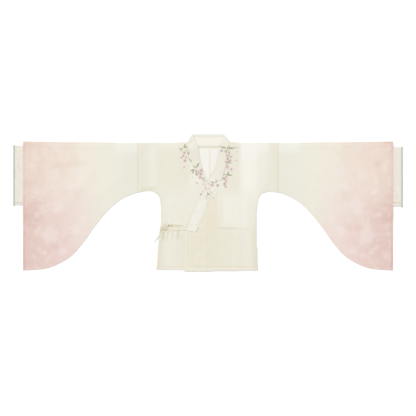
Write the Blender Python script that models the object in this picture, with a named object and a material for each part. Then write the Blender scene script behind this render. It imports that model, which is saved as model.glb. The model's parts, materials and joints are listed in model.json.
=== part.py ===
"""A crossed-collar hanfu jacket with pipa sleeves, laid flat, front up.

Metres. +X runs to the wearer's left, +Y to the neck, +Z up from the surface it lies on.
"d" is the distance down the cloth from the shoulder line. Tables are in millimetres.
"""

import math

import bmesh
import bpy
from mathutils import Vector

MM = 0.001

# Driving sizes
CLOTH = 1.2 * MM
GAP = 0.3 * MM
BAND = 1.8 * MM
LAYER = CLOTH + GAP
FOLD_R = CLOTH + GAP / 2
TOP = 41 * MM
BOTTOM = 663 * MM
SHOULDER_Y = (BOTTOM - TOP) / 2
ARMHOLE = 359 * MM
MOUTH = 947.5 * MM
REACH = 998.5 * MM
BINDING = 8.5 * MM
CENTRE_BACK = 6.7 * MM
LAPEL = 121 * MM
FRONT_HEM_RIGHT = 654 * MM
FRONT_HEM_LEFT = 659 * MM
BACK_HEM = 652 * MM
STEP = 30 * MM

# How much higher than its base the left front lies where the inner lapel and collar are under it
OVER_COLLAR = BAND + GAP

# Underarm and sleeve edge: distance from the centre, drop below the shoulder line
UNDERARM_RIGHT = [
    (359, 258.5), (340, 253.5), (320, 250.5), (300, 249.5), (282, 253.5),
    (266, 262.5), (256, 272.0), (249, 284.0), (245, 300.0), (242, 323.0),
]
UNDERARM_LEFT = [
    (359, 258.5), (340, 255.0), (320, 254.0), (302, 255.0), (285, 259.5),
    (273, 267.0), (264, 278.5), (257.5, 295.0), (253, 318.0),
]
SIDE_RIGHT = [
    (241.5, 340), (241, 365), (241, 415), (244.5, 432), (248.5, 461), (254, 522), (258.5, 584), (264, 654),
]
SIDE_LEFT = [(250.5, 345), (248, 369), (249, 522), (252, 545), (253.5, 614), (257.5, 659)]
SLEEVE_EDGE = [
    (359, 258.5), (389, 267.5), (451, 298), (512, 350), (574, 424), (635, 509),
    (696, 580), (758, 620), (819, 645), (881, 654), (947.5, 658),
]

# Collar stations: free edge x, d; sewn edge x, d; height of the underside
COLLAR_BACK = [
    (-74.3, -41.0, -88.6, 12.3, 0.0),
    (-51.2, -41.0, -61.5, 21.5, 0.0),
    (-20.5, -41.0, -25.6, 24.1, 0.0),
    (6.7, -41.0, 6.7, 24.3, 0.0),
    (33.8, -41.0, 38.9, 24.1, 0.0),
    (58.9, -41.0, 73.2, 21.5, 0.0),
    (75.5, -41.0, 99.5, 12.3, 0.0),
]
COLLAR_RIGHT = [
    (-82.0, -38.9, -102.5, 1.0, 2.1),
    (-64.0, -7.7, -100.5, 28.2, 2.1),
    (-48.1, 28.2, -96.3, 53.8, 2.1),
    (-43.0, 66.6, -87.6, 84.5, 1.8),
    (-36.9, 102.4, -74.8, 112.7, 1.5),
    (-25.6, 143.4, -57.9, 148.5, 1.5),
    (-10.8, 181.8, -41.0, 186.9, 1.5),
    (10.2, 222.8, -22.5, 227.9, 1.5),
    (33.3, 274.0, -2.6, 286.8, 1.5),
    (61.5, 338.0, 20.5, 348.2, 1.5),
    (87.1, 399.4, 43.5, 407.1, 1.5),
    (110.1, 455.8, 64.0, 458.3, 1.5),
]
COLLAR_LEFT = [
    (83.0, -38.7, 113.5, 1.3, 2.1),
    (71.8, -2.6, 111.0, 33.3, 2.1),
    (58.0, 38.4, 105.8, 66.6, 2.3),
    (46.1, 76.8, 98.3, 99.9, 2.7),
    (36.9, 117.8, 88.1, 138.3, 3.1),
    (24.6, 156.2, 76.8, 174.1, 3.45),
    (8.2, 189.5, 59.4, 215.1, 3.6),
    (-14.3, 230.4, 29.7, 257.1, 3.6),
    (-33.8, 274.0, 7.7, 286.8, 3.6),
    (-62.0, 337.0, -17.0, 353.3, 3.6),
    (-90.0, 396.4, -43.0, 414.8, 3.6),
    (-111.0, 455.0, -60.0, 460.5, 3.6),
]

# Inner cuffs: top and bottom edge, d
CUFF_RIGHT = (18.0, 323.0)
CUFF_LEFT = (26.0, 330.0)
CUFF_INSIDE = 60 * MM

# Creases: x, d of both ends, half width, height
GATHERS = [
    (-236, 482, -239, 526, 4.5, 2.2),
    (-212, 470, -213, 525, 5.0, 2.6),
    (-186, 457, -186, 522, 5.0, 3.0),
    (-162, 457, -161, 530, 4.5, 3.0),
    (-139, 457, -139, 516, 4.0, 2.4),
    (-222, 392, -224, 412, 4.5, 1.2),
    (-190, 398, -191, 434, 5.0, 1.6),
    (-160, 402, -158, 434, 5.0, 1.4),
]
WAIST_CREASE = [(60, 436, 236, 438, 8.0, 1.3)]
SLEEVE_CREASES = [
    (395, 24, 920, 23, 7.0, 1.3),
    (420, 150, 640, 330, 26.0, 1.6),
    (560, 120, 820, 420, 30.0, 1.8),
    (700, 470, 860, 560, 24.0, 1.4),
]
UNDERARM_CREASES = [
    (268, 232, 316, 206, 7.0, 1.5),
    (262, 262, 300, 222, 6.0, 1.2),
]


def smooth(a, b, t):
    """0 at a, 1 at b, with a level start and end."""
    t = max(0.0, min(1.0, (t - a) / (b - a)))
    return t * t * (3 - 2 * t)


def curve(rows, parts):
    """Points on a smooth line through rows, with parts to a span."""
    out = []
    for i in range(len(rows) - 1):
        p0, p1, p2 = rows[max(i - 1, 0)], rows[i], rows[i + 1]
        p3 = rows[min(i + 2, len(rows) - 1)]
        for k in range(parts):
            t = k / parts
            out.append(tuple(
                0.5 * (2 * b + (c - a) * t + (2 * a - 5 * b + 4 * c - d) * t * t
                       + (3 * b - a - 3 * c + d) * t ** 3)
                for a, b, c, d in zip(p0, p1, p2, p3)))
    out.append(tuple(rows[-1]))
    return out


def metres(rows):
    return [tuple(n * MM for n in row) for row in rows]


def offset(line, by):
    """The line moved sideways, to its right for a plus."""
    out = []
    for i, p in enumerate(line):
        a, b = line[max(i - 1, 0)], line[min(i + 1, len(line) - 1)]
        dx, dy = b[0] - a[0], b[1] - a[1]
        n = math.hypot(dx, dy)
        out.append((p[0] + by * dy / n, p[1] - by * dx / n))
    return out


def ridges(x, d, rows):
    """The height of soft creases over a point."""
    high = 0.0
    for x0, d0, x1, d1, width, height in rows:
        ax, ad = x - x0 * MM, d - d0 * MM
        lx, ld = (x1 - x0) * MM, (d1 - d0) * MM
        long = math.hypot(lx, ld)
        t = (ax * lx + ad * ld) / long ** 2
        across = abs(ax * ld - ad * lx) / long
        if -0.05 < t < 1.05:
            ends = smooth(-0.05, 0.2, t) * (1 - smooth(0.75, 1.05, t))
            high += height * MM * ends * math.exp(-(across / (width * MM)) ** 2)
    return high


def edge_of(rows, x):
    """The drop that a table gives at a distance from the centre."""
    pts = metres(curve(rows, 6))
    for (x0, d0), (x1, d1) in zip(pts, pts[1:]):
        if x0 <= x <= x1:
            return d0 + (d1 - d0) * (x - x0) / (x1 - x0), (d1 - d0) / (x1 - x0)
    end = pts[0] if x < pts[0][0] else pts[-1]
    return end[1], 0.0


def front_right(x, d):
    """How far the right front lies above its base."""
    clear = smooth(0.004, 0.02, d)
    return clear * (ridges(x, d, GATHERS) + ridges(-x, d, UNDERARM_CREASES))


def raised(x, d):
    """How far the left front rides up over the inner lapel and the collar's hidden end."""
    return OVER_COLLAR * smooth(0.16, 0.21, d) * (1 - smooth(0.145, 0.185, x))


def front_left(x, d):
    clear = smooth(0.004, 0.02, d)
    return raised(x, d) + clear * (ridges(x, d, WAIST_CREASE) + ridges(x, d, UNDERARM_CREASES))


def lapel_rise(x, d):
    """The outer lapel lies one layer up and meets the left front at the centre seam."""
    return LAYER + (OVER_COLLAR - LAYER) * smooth(-0.04, 0.0, x)


def material(name, colour, rough, sheen=0.3):
    m = bpy.data.materials.new(name)
    m.use_nodes = True
    shader = m.node_tree.nodes["Principled BSDF"]
    shader.inputs["Base Color"].default_value = (*colour, 1)
    shader.inputs["Roughness"].default_value = rough
    shader.inputs["Metallic"].default_value = 0.0
    shader.inputs["Sheen Weight"].default_value = sheen
    m.diffuse_color = (*colour, 1)
    return m


def finish(name, bm, colour, rough):
    """Makes the named object of a mesh, with its own material."""
    bmesh.ops.recalc_face_normals(bm, faces=bm.faces)
    mesh = bpy.data.meshes.new(name)
    bm.to_mesh(mesh)
    bm.free()
    obj = bpy.data.objects.new(name, mesh)
    bpy.context.scene.collection.objects.link(obj)
    mesh.materials.append(material(name, colour, rough))
    for p in mesh.polygons:
        p.use_smooth = True
    return obj


def cut_sheet(name, outline, place, across, along, fine, colour):
    """A cut of cloth: its outline in x and s, gridded, laid in place and given its wall."""
    bm = bmesh.new()
    bm.faces.new([bm.verts.new((x, s, 0)) for x, s in outline])
    cuts = [((x, 0, 0), (1, 0, 0), None) for x in across] + [((0, s, 0), (0, 1, 0), None) for s in along]
    cuts += fine
    for co, no, box in cuts:
        geom = bm.verts[:] + bm.edges[:] + bm.faces[:]
        if box:
            faces = [f for f in bm.faces if box[0] < f.calc_center_median().x < box[1]
                     and box[2] < f.calc_center_median().y < box[3]]
            edges = {e for f in faces for e in f.edges}
            verts = {v for f in faces for v in f.verts}
            geom = list(verts) + list(edges) + faces
        bmesh.ops.bisect_plane(bm, geom=geom, plane_co=co, plane_no=no, dist=1e-6)
    for v in bm.verts:
        v.co = place(v.co.x, v.co.y)
    bm.normal_update()
    top = max(bm.faces, key=lambda f: f.calc_area())
    outward = 1 if top.calc_center_median().z > FOLD_R else -1
    if top.normal.z * outward < 0:
        bmesh.ops.reverse_faces(bm, faces=bm.faces[:])
    mesh = bpy.data.meshes.new(name)
    bm.to_mesh(mesh)
    bm.free()
    obj = bpy.data.objects.new(name, mesh)
    bpy.context.scene.collection.objects.link(obj)
    mesh.materials.append(material(name, colour, 0.85))
    for p in mesh.polygons:
        p.use_smooth = True
    wall = obj.modifiers.new("wall", "SOLIDIFY")
    wall.thickness = CLOTH
    wall.offset = -1
    wall.use_even_offset = True
    return obj


def folded(height):
    """Lays a cut over the shoulder fold: s above 0 is the front, below 0 the back."""
    arc = FOLD_R * math.pi / 2

    def place(x, s):
        if abs(s) < arc:
            turn = s / FOLD_R
            return Vector((x, SHOULDER_Y - FOLD_R * (1 - math.cos(turn)), FOLD_R * (1 + math.sin(turn))))
        d = abs(s) - arc + FOLD_R
        if s < 0:
            return Vector((x, SHOULDER_Y - d, 0))
        return Vector((x, SHOULDER_Y - d, 2 * FOLD_R + height(x, d)))

    return place


def flat(base, height):
    """Lays a front cut at a height above the surface, outer side up."""
    def place(x, s):
        return Vector((x, SHOULDER_Y - s, base + CLOTH + height(x, s)))
    return place


def to_s(points, back=False):
    """Distances down the cloth as lengths over the fold."""
    extra = FOLD_R * (math.pi / 2 - 1)
    return [(x, (-1 if back else 1) * (d + extra if d > FOLD_R else d)) for x, d in points]


def steps(a, b, size):
    n = max(1, round((b - a) / size))
    return [a + (b - a) * i / n for i in range(n + 1)]


def swept(name, sections, colour, rough=0.85, ends=True):
    """A body through closed sections that each have as many points."""
    around, along = len(sections[0]), len(sections) - 1
    bm = bmesh.new()
    bmesh.ops.create_grid(bm, x_segments=around, y_segments=along, size=1.0)
    for v in bm.verts:
        u = round((v.co.x + 1) / 2 * around) % around
        w = round((v.co.y + 1) / 2 * along)
        v.co = sections[w][u]
    bmesh.ops.remove_doubles(bm, verts=bm.verts, dist=1e-8)
    if ends:
        rim = [e for e in bm.edges if e.is_boundary]
        bmesh.ops.holes_fill(bm, edges=rim, sides=0)
    return finish(name, bm, colour, rough)


def tube_section(x, top, low, slope, base, gap, height, wall, lower, upper):
    """(outer loop, inner loop) of a flattened tube across x, from its top fold to its lower edge."""
    lean = math.sqrt(1 + slope * slope)
    r_out, r_in = wall + gap / 2, gap / 2
    mid_top, mid_low = top + r_out, low - r_out * lean
    loops = []
    for r, side in ((r_out, 0.0), (r_in, wall)):
        loop = []
        for d in lower:
            t = mid_top + (mid_low - mid_top) * d
            loop.append(Vector((x, SHOULDER_Y - t, base + side)))
        for i in range(1, 4):
            a = -math.pi / 2 + math.pi * i / 4
            loop.append(Vector((x, SHOULDER_Y - mid_low - r * lean * math.cos(a),
                                base + r_out + r * math.sin(a))))
        for d in upper:
            t = mid_top + (mid_low - mid_top) * d
            loop.append(Vector((x, SHOULDER_Y - t, base + 2 * r_out - side + height(x, t))))
        for i in range(1, 4):
            a = math.pi / 2 + math.pi * i / 4
            loop.append(Vector((x, SHOULDER_Y - mid_top - r * math.cos(a),
                                base + r_out + r * math.sin(a))))
        loops.append(loop)
    return loops


def tube(name, stations, colour):
    """An open tube: its outer loops one way, its inner loops back, closed on themselves."""
    outer, inner = [s[0] for s in stations], [s[1] for s in stations]
    return swept(name, outer + inner[::-1] + outer[:1], colour, ends=False)


def band_section(free, sewn, thick, lift, n=3):
    """A section across the collar strip. lift turns its thickness from up to down over a fold."""
    out = []
    side = Vector(free) - Vector(sewn)
    side.normalize()
    trim = 0.35 * thick
    for face in (-0.5, 0.5):
        line = [Vector(sewn).lerp(Vector(free), i / n) for i in range(n + 1)]
        line[0] += side * trim
        line[-1] -= side * trim
        row = [p + lift * face * thick for p in line]
        if face > 0:
            row.reverse()
        out += row
        out.append(Vector(free if face < 0 else sewn))
    return out


def collar_line(rows, parts=2):
    return metres(curve(rows, parts))


def collar():
    """One strip: its inner end, over the right shoulder, round the back and down to its outer end."""
    right, left = collar_line(COLLAR_RIGHT), collar_line(COLLAR_LEFT)
    back = collar_line([COLLAR_RIGHT[0][:4] + (0.0,)] + COLLAR_BACK + [COLLAR_LEFT[0][:4] + (0.0,)], 2)
    up, sections = Vector((0, 0, 1)), []

    def ends(row, z):
        return ((row[0], SHOULDER_Y - row[1], z), (row[2], SHOULDER_Y - row[3], z))

    def front(row):
        free, sewn = ends(row, row[4] + BAND / 2)
        sections.append(band_section(free, sewn, BAND, -up))

    def turn(row, outward, angles):
        radius = row[4] / 2
        for a in angles:
            z = BAND / 2 + radius * (1 - math.cos(a))
            free, sewn = ends(row, z)
            push = outward * radius * math.sin(a)
            lift = up * math.cos(a) - outward * math.sin(a)
            sections.append(band_section(Vector(free) + push, Vector(sewn) + push, BAND, lift))

    def outward(row):
        along = Vector((row[2] - row[0], row[1] - row[3], 0)).normalized()
        n = Vector((-along.y, along.x, 0))
        return n if n.x * row[0] > 0 else -n

    half = [math.pi * i / 8 for i in range(1, 8)]
    for row in right[::-1]:
        front(row)
    turn(right[0], outward(right[0]), half[::-1])
    for row in back:
        free, sewn = ends(row, BAND / 2)
        sections.append(band_section(free, sewn, BAND, up))
    turn(left[0], outward(left[0]), half)
    for row in left:
        front(row)
    return swept("collar", sections, (0.87, 0.82, 0.71))


def ribbon(name, rows, colour, thick=1.0 * MM):
    """A ribbon along rows of x, d, height of its underside and width, all in millimetres."""
    pts = [(x * MM, SHOULDER_Y - d * MM, z * MM, w * MM) for x, d, z, w in curve(rows, 2)]
    sections = []
    for i, (x, y, z, w) in enumerate(pts):
        a, b = pts[max(i - 1, 0)], pts[min(i + 1, len(pts) - 1)]
        along = Vector((b[0] - a[0], b[1] - a[1], 0)).normalized()
        side = Vector((-along.y, along.x, 0)) * w / 2
        mid = Vector((x, y, z + thick / 2))
        sections.append(band_section(mid + side, mid - side, thick, Vector((0, 0, 1)), 2))
    return swept(name, sections, colour)


def neckline(rows, side):
    """The front edge that the collar is sewn to, from the shoulder down. side is -1 on the right."""
    sewn = [(r[2], r[3]) for r in collar_line(rows)]
    return offset(sewn, side * GAP)[1:]


def back_neck(side):
    rows = [COLLAR_RIGHT[0][:4] + (0.0,)] + COLLAR_BACK + [COLLAR_LEFT[0][:4] + (0.0,)]
    sewn = [(r[2], r[3]) for r in collar_line(rows, 2)]
    half = [p for p in offset(sewn, -GAP)[1:-1] if side * (p[0] - CENTRE_BACK) > 0.004]
    return sorted(half, key=lambda p: side * p[0])


def body(side):
    """One body half: side is -1 for the right."""
    rows = COLLAR_RIGHT if side < 0 else COLLAR_LEFT
    hem = FRONT_HEM_RIGHT if side < 0 else FRONT_HEM_LEFT
    start = (-106.1 * MM, 0.0) if side < 0 else (117.0 * MM, 0.0)
    centre = side * GAP / 2
    neck = neckline(rows, side)
    neck = [p for p in neck if side * (p[0] - centre) > 0.001]
    last, cross = neck[-1], None
    for p in neckline(rows, side):
        if side * (p[0] - centre) <= 0.001:
            t = (last[0] - centre) / (last[0] - p[0])
            cross = (centre, last[1] + t * (p[1] - last[1]))
            break
    arm = UNDERARM_RIGHT if side < 0 else UNDERARM_LEFT
    under = [(side * x, d) for x, d in metres(curve(arm, 2))]
    under[0] = (side * (ARMHOLE - GAP / 2), under[0][1])
    sides = arm[-1:] + (SIDE_RIGHT if side < 0 else SIDE_LEFT)
    sides = [(side * x, d) for x, d in metres(curve(sides, 3))][1:]
    seam = CENTRE_BACK + side * GAP / 2
    front_hem = [(centre, hem)] if side < 0 else [(centre, BOTTOM), (0.061, BOTTOM), (0.08, hem + 0.001), (0.11, hem)]
    front = [start] + neck + [cross] + front_hem + sides[::-1] + under[::-1]
    back_sides = [(x, min(d, BACK_HEM)) for x, d in sides]
    back = under + back_sides + [(seam, BACK_HEM), (seam, 24.6 * MM)] + back_neck(side)
    armhole = [(side * (ARMHOLE - GAP / 2), 0.0)]
    outline = to_s(front) + armhole + to_s(back, back=True)
    arc = FOLD_R * math.pi / 2
    fold = [arc * i / 3 for i in range(-3, 4)]
    across = [side * x for x in steps(0.03, 0.318, STEP)]
    along = fold + to_list(0.03, 0.63) + [-0.024, -0.10, -0.262, -0.33, -0.49]
    fine = []
    if side < 0:
        box = (-0.27, -0.125, 0.375, 0.555)
        fine = [((x, 0, 0), (1, 0, 0), box) for x in steps(-0.243, -0.133, 0.0058)]
        fine += [((0, s, 0), (0, 1, 0), box) for s in (0.41, 0.433, 0.456, 0.468, 0.49, 0.51, 0.53)]
    else:
        fine = [((0, s, 0), (0, 1, 0), (0.0, 0.26, 0.40, 0.46)) for s in (0.422, 0.43, 0.437, 0.444, 0.452)]
    height = front_right if side < 0 else front_left
    name = "body_right" if side < 0 else "body_left"
    return cut_sheet(name, outline, folded(height), across, along, fine, (0.83, 0.80, 0.68))


def to_list(a, b):
    return steps(a, b, 0.04)


def lapels():
    """The lapels on the centre front: the outer one from the left half, the inner one from the right."""
    def top_edge(rows, side):
        line = neckline(rows, side)
        kept = [p for p in line if side * p[0] < -0.002]
        before = [p for p in line if side * p[0] >= -0.002][-1]
        t = (before[0] + side * GAP / 2) / (before[0] - kept[0][0])
        first = (-side * GAP / 2, before[1] + t * (kept[0][1] - before[1]))
        return [first] + kept

    edge = top_edge(COLLAR_LEFT, 1)
    end = [(-60 * MM, 461.0 * MM), (-111 * MM, 455.5 * MM), (-LAPEL, 455.5 * MM)]
    outline = edge[:-1] + end + [(-LAPEL, BOTTOM), (-GAP / 2, BOTTOM)]
    across, along = steps(-0.1, -0.025, 0.025), to_list(0.33, 0.63)
    cut_sheet("outer_lapel", outline, flat(LAYER, lapel_rise), across, along, [], (0.83, 0.79, 0.66))

    edge = top_edge(COLLAR_RIGHT, -1)
    end = [(64.0 * MM, 458.8 * MM), (110.1 * MM, 456.4 * MM), (LAPEL, 456.4 * MM)]
    outline = edge[:-1] + end + [(LAPEL, BACK_HEM), (GAP / 2, BACK_HEM)]
    across, along = steps(0.025, 0.1, 0.025), to_list(0.33, 0.63)
    cut_sheet("inner_lapel", outline, flat(LAYER, lambda x, d: 0.0), across, along, [], (0.83, 0.80, 0.68))


def mouth_rise(x, d, cuff):
    """The sleeve's upper side rides over the cuff inside the mouth."""
    top, low = cuff[0] * MM, cuff[1] * MM
    along = smooth(MOUTH - 0.115, MOUTH - 0.068, abs(x))
    down = smooth(0.003, top - 0.003, d) * (1 - smooth(low + 0.03, low + 0.09, d))
    return 2 * LAYER * along * down


def sleeve(side):
    cuff = CUFF_RIGHT if side < 0 else CUFF_LEFT
    name = "sleeve_right" if side < 0 else "sleeve_left"

    def height(x, d):
        low = edge_of(SLEEVE_EDGE, abs(x))[0]
        clear = smooth(0.002, 0.016, d) * (1 - smooth(low - 0.03, low - 0.006, d))
        return mouth_rise(x, d, cuff) + clear * ridges(abs(x), d, SLEEVE_CREASES)

    out = [ARMHOLE + GAP / 2] + steps(0.38, 0.80, 0.035) + [0.825, 0.843, 0.86, 0.882, 0.915, MOUTH]
    stations = []
    for x in out:
        low, slope = edge_of(SLEEVE_EDGE, x)
        long = low - 2 * FOLD_R
        near = [0.008, 0.016, 0.023, 0.030, 0.040]
        upper = [t / long for t in near] + steps(0.06 / long, 1 - 0.012 / long, (1 - 0.072 / long) / 12)
        upper = [0.0] + upper + [1.0]
        lower = [0.0, 0.06, 0.5, 0.95, 1.0]
        stations.append(tube_section(side * x, 0.0, low, slope, 0.0, GAP, height, CLOTH, lower, upper[::-1]))
    return tube(name, stations, (0.82, 0.70, 0.61))


def cuff_base(x):
    """The cuff lies on the sleeve's wall and comes down to the surface outside the mouth."""
    return LAYER * (1 - smooth(MOUTH + 0.002, MOUTH + 0.018, x))


def cuff(side):
    top, low = (n * MM for n in (CUFF_RIGHT if side < 0 else CUFF_LEFT))
    name = "right" if side < 0 else "left"
    end = REACH - BINDING - GAP
    out = [MOUTH - CUFF_INSIDE, 0.92, 0.94] + steps(MOUTH, MOUTH + 0.02, 0.003) + [0.98, end]
    lower, upper = [0.0, 0.04, 0.35, 0.68, 0.96, 1.0], [1.0, 0.96, 0.8, 0.6, 0.4, 0.2, 0.04, 0.0]
    none = lambda x, d: 0.0
    stations = [tube_section(side * x, top, low, 0.0, cuff_base(x), GAP, none, CLOTH, lower, upper) for x in out]
    tube("cuff_" + name, stations, (0.80, 0.76, 0.68))
    rows = [tube_section(side * x, top - 0.0025, low + 0.004, 0.0, 0.0, GAP, none, 1.6 * MM, lower, upper)
            for x in (REACH - BINDING, REACH - BINDING / 2, REACH)]
    tube("cuff_binding_" + name, rows, (0.47, 0.50, 0.43))


def tie():
    """The tie from the lapel, the one from the side seam, and their bow."""
    tie_colour = (0.80, 0.73, 0.60)
    on_front, on_collar = 3.05, 5.75
    ribbon("waist_tie", [
        (-82, 446.5, on_collar, 11), (-96, 446, on_collar, 11), (-109, 445.5, on_collar, 11),
        (-116, 445.5, 4.4, 11), (-124, 445.5, 3.2, 11), (-150, 446.5, on_front, 11.5),
        (-182, 445.5, on_front, 10.5), (-205, 445, on_front, 9.5), (-211.5, 445, on_front, 7),
    ], tie_colour)
    bm = bmesh.new()
    bmesh.ops.create_cube(bm, size=1.0)
    bmesh.ops.scale(bm, verts=bm.verts, vec=(10.5 * MM, 11.5 * MM, 5.5 * MM))
    bmesh.ops.translate(bm, verts=bm.verts, vec=(-217.3 * MM, SHOULDER_Y - 445.5 * MM, 5.8 * MM))
    bmesh.ops.bevel(bm, geom=bm.edges[:], offset=2.2 * MM, segments=3, profile=0.5, affect="EDGES",
                    material=-1)
    finish("tie_knot", bm, tie_colour, 0.85)
    ribbon("side_tie", [
        (-222.9, 446, on_front, 6), (-228, 446.5, on_front, 8), (-236, 447, on_front, 10),
        (-243, 447.5, on_front, 10),
    ], tie_colour)
    ribbon("bow_loop_left", [
        (-220.2, 437.8, 4.6, 5), (-226.5, 433, 4.6, 9), (-234, 428.5, 4.4, 10.5), (-238.5, 424.5, 4.4, 8.5),
        (-241, 422.5, 4.4, 4),
    ], tie_colour, 2.2 * MM)
    ribbon("bow_loop_right", [
        (-214.6, 439.0, 4.6, 5), (-211.5, 433.5, 4.6, 9), (-208, 427, 4.4, 10.5), (-206, 422, 4.4, 8.5),
        (-205, 419.5, 4.4, 4),
    ], tie_colour, 2.2 * MM)
    ribbon("tie_end", [
        (-212.2, 452.2, on_front, 5), (-208.5, 457, on_front, 7), (-204, 462.5, on_front, 8),
    ], tie_colour)
    ribbon("tie_tail", [
        (-222.2, 452.6, on_front, 5), (-229, 458, on_front, 6.5), (-237, 465, on_front, 6.5),
        (-246, 474, on_front, 6), (-253.5, 484, on_front, 6), (-261, 494, 1.6, 6),
        (-267, 502, 0.3, 6), (-271, 508, 0.0, 6), (-276.5, 515, 0.0, 6),
    ], (0.80, 0.81, 0.74))


def main():
    for obj in list(bpy.data.objects):
        bpy.data.objects.remove(obj, do_unlink=True)
    for side in (-1, 1):
        body(side)
    lapels()
    for side in (-1, 1):
        sleeve(side)
    for side in (-1, 1):
        cuff(side)
    collar()
    tie()


main()
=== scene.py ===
"""Dresses a crossed-collar hanfu jacket with pipa sleeves, laid flat with its front up.

Metres. +X runs to the wearer's left, +Y to the neck, +Z up from the surface it lies on.
"d" is the distance down the cloth from the shoulder line. Tables are in millimetres.
"""

import json
import logging
import math
import random
from collections.abc import Callable, Sequence
from dataclasses import dataclass, field
from enum import Enum

import bmesh
import bpy
from mathutils import Matrix, Vector, noise
from mathutils.bvhtree import BVHTree

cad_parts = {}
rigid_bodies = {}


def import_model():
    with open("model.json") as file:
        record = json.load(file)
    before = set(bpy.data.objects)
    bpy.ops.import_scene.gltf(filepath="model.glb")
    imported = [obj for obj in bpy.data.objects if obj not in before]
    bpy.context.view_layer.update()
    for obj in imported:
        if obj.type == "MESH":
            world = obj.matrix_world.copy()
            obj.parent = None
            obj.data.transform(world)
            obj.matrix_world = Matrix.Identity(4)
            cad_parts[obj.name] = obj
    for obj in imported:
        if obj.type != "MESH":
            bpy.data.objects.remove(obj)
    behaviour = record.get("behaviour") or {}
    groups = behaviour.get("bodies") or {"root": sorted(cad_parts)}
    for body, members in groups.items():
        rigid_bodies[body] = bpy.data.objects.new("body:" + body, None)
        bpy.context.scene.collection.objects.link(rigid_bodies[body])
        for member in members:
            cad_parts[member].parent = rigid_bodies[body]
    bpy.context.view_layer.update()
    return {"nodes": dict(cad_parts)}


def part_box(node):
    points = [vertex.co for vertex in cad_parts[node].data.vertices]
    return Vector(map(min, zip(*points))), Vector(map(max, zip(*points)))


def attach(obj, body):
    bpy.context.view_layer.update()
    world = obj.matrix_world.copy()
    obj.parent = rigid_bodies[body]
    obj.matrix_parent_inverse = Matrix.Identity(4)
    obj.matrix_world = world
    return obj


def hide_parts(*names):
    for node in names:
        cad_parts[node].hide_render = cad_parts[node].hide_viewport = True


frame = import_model()

LOG = logging.getLogger("jacket")
MM = 0.001
UP = Vector((0, 0, 1))
PETALS = 5

# The solids that the cloth lies on
SHOULDER_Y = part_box("sleeve_left")[1].y
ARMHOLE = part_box("sleeve_left")[0].x
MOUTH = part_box("sleeve_left")[1].x
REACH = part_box("cuff_binding_left")[1].x
SOLID_WALL = 1.2 * MM
SEAM_GAP = 0.3 * MM
LAYER = SOLID_WALL + SEAM_GAP
FOLD_R = SOLID_WALL + SEAM_GAP / 2
BAND = 1.8 * MM

# The cloth itself: two sheer layers together
WALL = 0.6 * MM
TUCK = 1.0 * MM
GROOVE = 0.45 * MM
ALLOWANCE = 0.35 * MM
STEP = 1.5 * MM
RIPPLE = 0.35 * MM
DROOP = 0.8 * MM
NEEDLEWORK = 0.25 * MM

CENTRE_BACK = 6.7 * MM
LAPEL = 121 * MM
BOTTOM = 663 * MM
BACK_HEM = 652 * MM
HEM_LINE = 639 * MM
MOUTH_HEM = 8 * MM
SEAM_STRIP = 24 * MM
CUFF_INSIDE = 60 * MM
BINDING = 8.5 * MM
OVER_COLLAR = BAND + SEAM_GAP

# How much the studio light lifts a colour above the one that is written here
LIGHT = 1.16

Point = tuple[float, float]
Row = tuple[float, ...]
Colour = tuple[float, float, float, float]
Stops = Sequence[tuple[float, str]]
Mesh = bmesh.types.BMesh
Piece = bpy.types.Object
Material = bpy.types.Material
Socket = bpy.types.NodeSocket

# Underarm and sleeve edge: distance from the centre, drop below the shoulder line
UNDERARM_RIGHT = [
    (359, 258.5), (340, 253.5), (320, 250.5), (300, 249.5), (282, 253.5),
    (266, 262.5), (256, 272.0), (249, 284.0), (245, 300.0), (242, 323.0),
]
UNDERARM_LEFT = [
    (359, 258.5), (340, 255.0), (320, 254.0), (302, 255.0), (285, 259.5),
    (273, 267.0), (264, 278.5), (257.5, 295.0), (253, 318.0),
]
SIDE_RIGHT = [
    (241.5, 340), (241, 365), (241, 415), (244.5, 432), (248.5, 461), (254, 522), (258.5, 584),
    (264, 654),
]
SIDE_LEFT = [(250.5, 345), (248, 369), (249, 522), (252, 545), (253.5, 614), (257.5, 659)]
SLEEVE_EDGE = [
    (359, 258.5), (389, 267.5), (451, 298), (512, 350), (574, 424), (635, 509),
    (696, 580), (758, 620), (819, 645), (881, 654), (947.5, 658),
]

# How far the laid shoulder line dips below a straight one: distance from the centre, dip
SHOULDER_DIP = [
    (115, 0.0), (180, 2.9), (255, 1.9), (325, 3.0), (410, 4.2), (510, 2.0), (615, 0.2), (715, 0.2),
    (810, -0.7), (880, -2.0), (945, -3.0),
]

# Collar stations: free edge x, d; sewn edge x, d; height of the underside
COLLAR_BACK = [
    (-74.3, -41.0, -88.6, 12.3, 0.0), (-51.2, -41.0, -61.5, 21.5, 0.0),
    (-20.5, -41.0, -25.6, 24.1, 0.0), (6.7, -41.0, 6.7, 24.3, 0.0),
    (33.8, -41.0, 38.9, 24.1, 0.0), (58.9, -41.0, 73.2, 21.5, 0.0),
    (75.5, -41.0, 99.5, 12.3, 0.0),
]
COLLAR_RIGHT = [
    (-82.0, -38.9, -102.5, 1.0, 2.1), (-64.0, -7.7, -100.5, 28.2, 2.1),
    (-48.1, 28.2, -96.3, 53.8, 2.1), (-43.0, 66.6, -87.6, 84.5, 1.8),
    (-36.9, 102.4, -74.8, 112.7, 1.5), (-25.6, 143.4, -57.9, 148.5, 1.5),
    (-10.8, 181.8, -41.0, 186.9, 1.5), (10.2, 222.8, -22.5, 227.9, 1.5),
    (33.3, 274.0, -2.6, 286.8, 1.5), (61.5, 338.0, 20.5, 348.2, 1.5),
    (87.1, 399.4, 43.5, 407.1, 1.5), (110.1, 455.8, 64.0, 458.3, 1.5),
]
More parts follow.
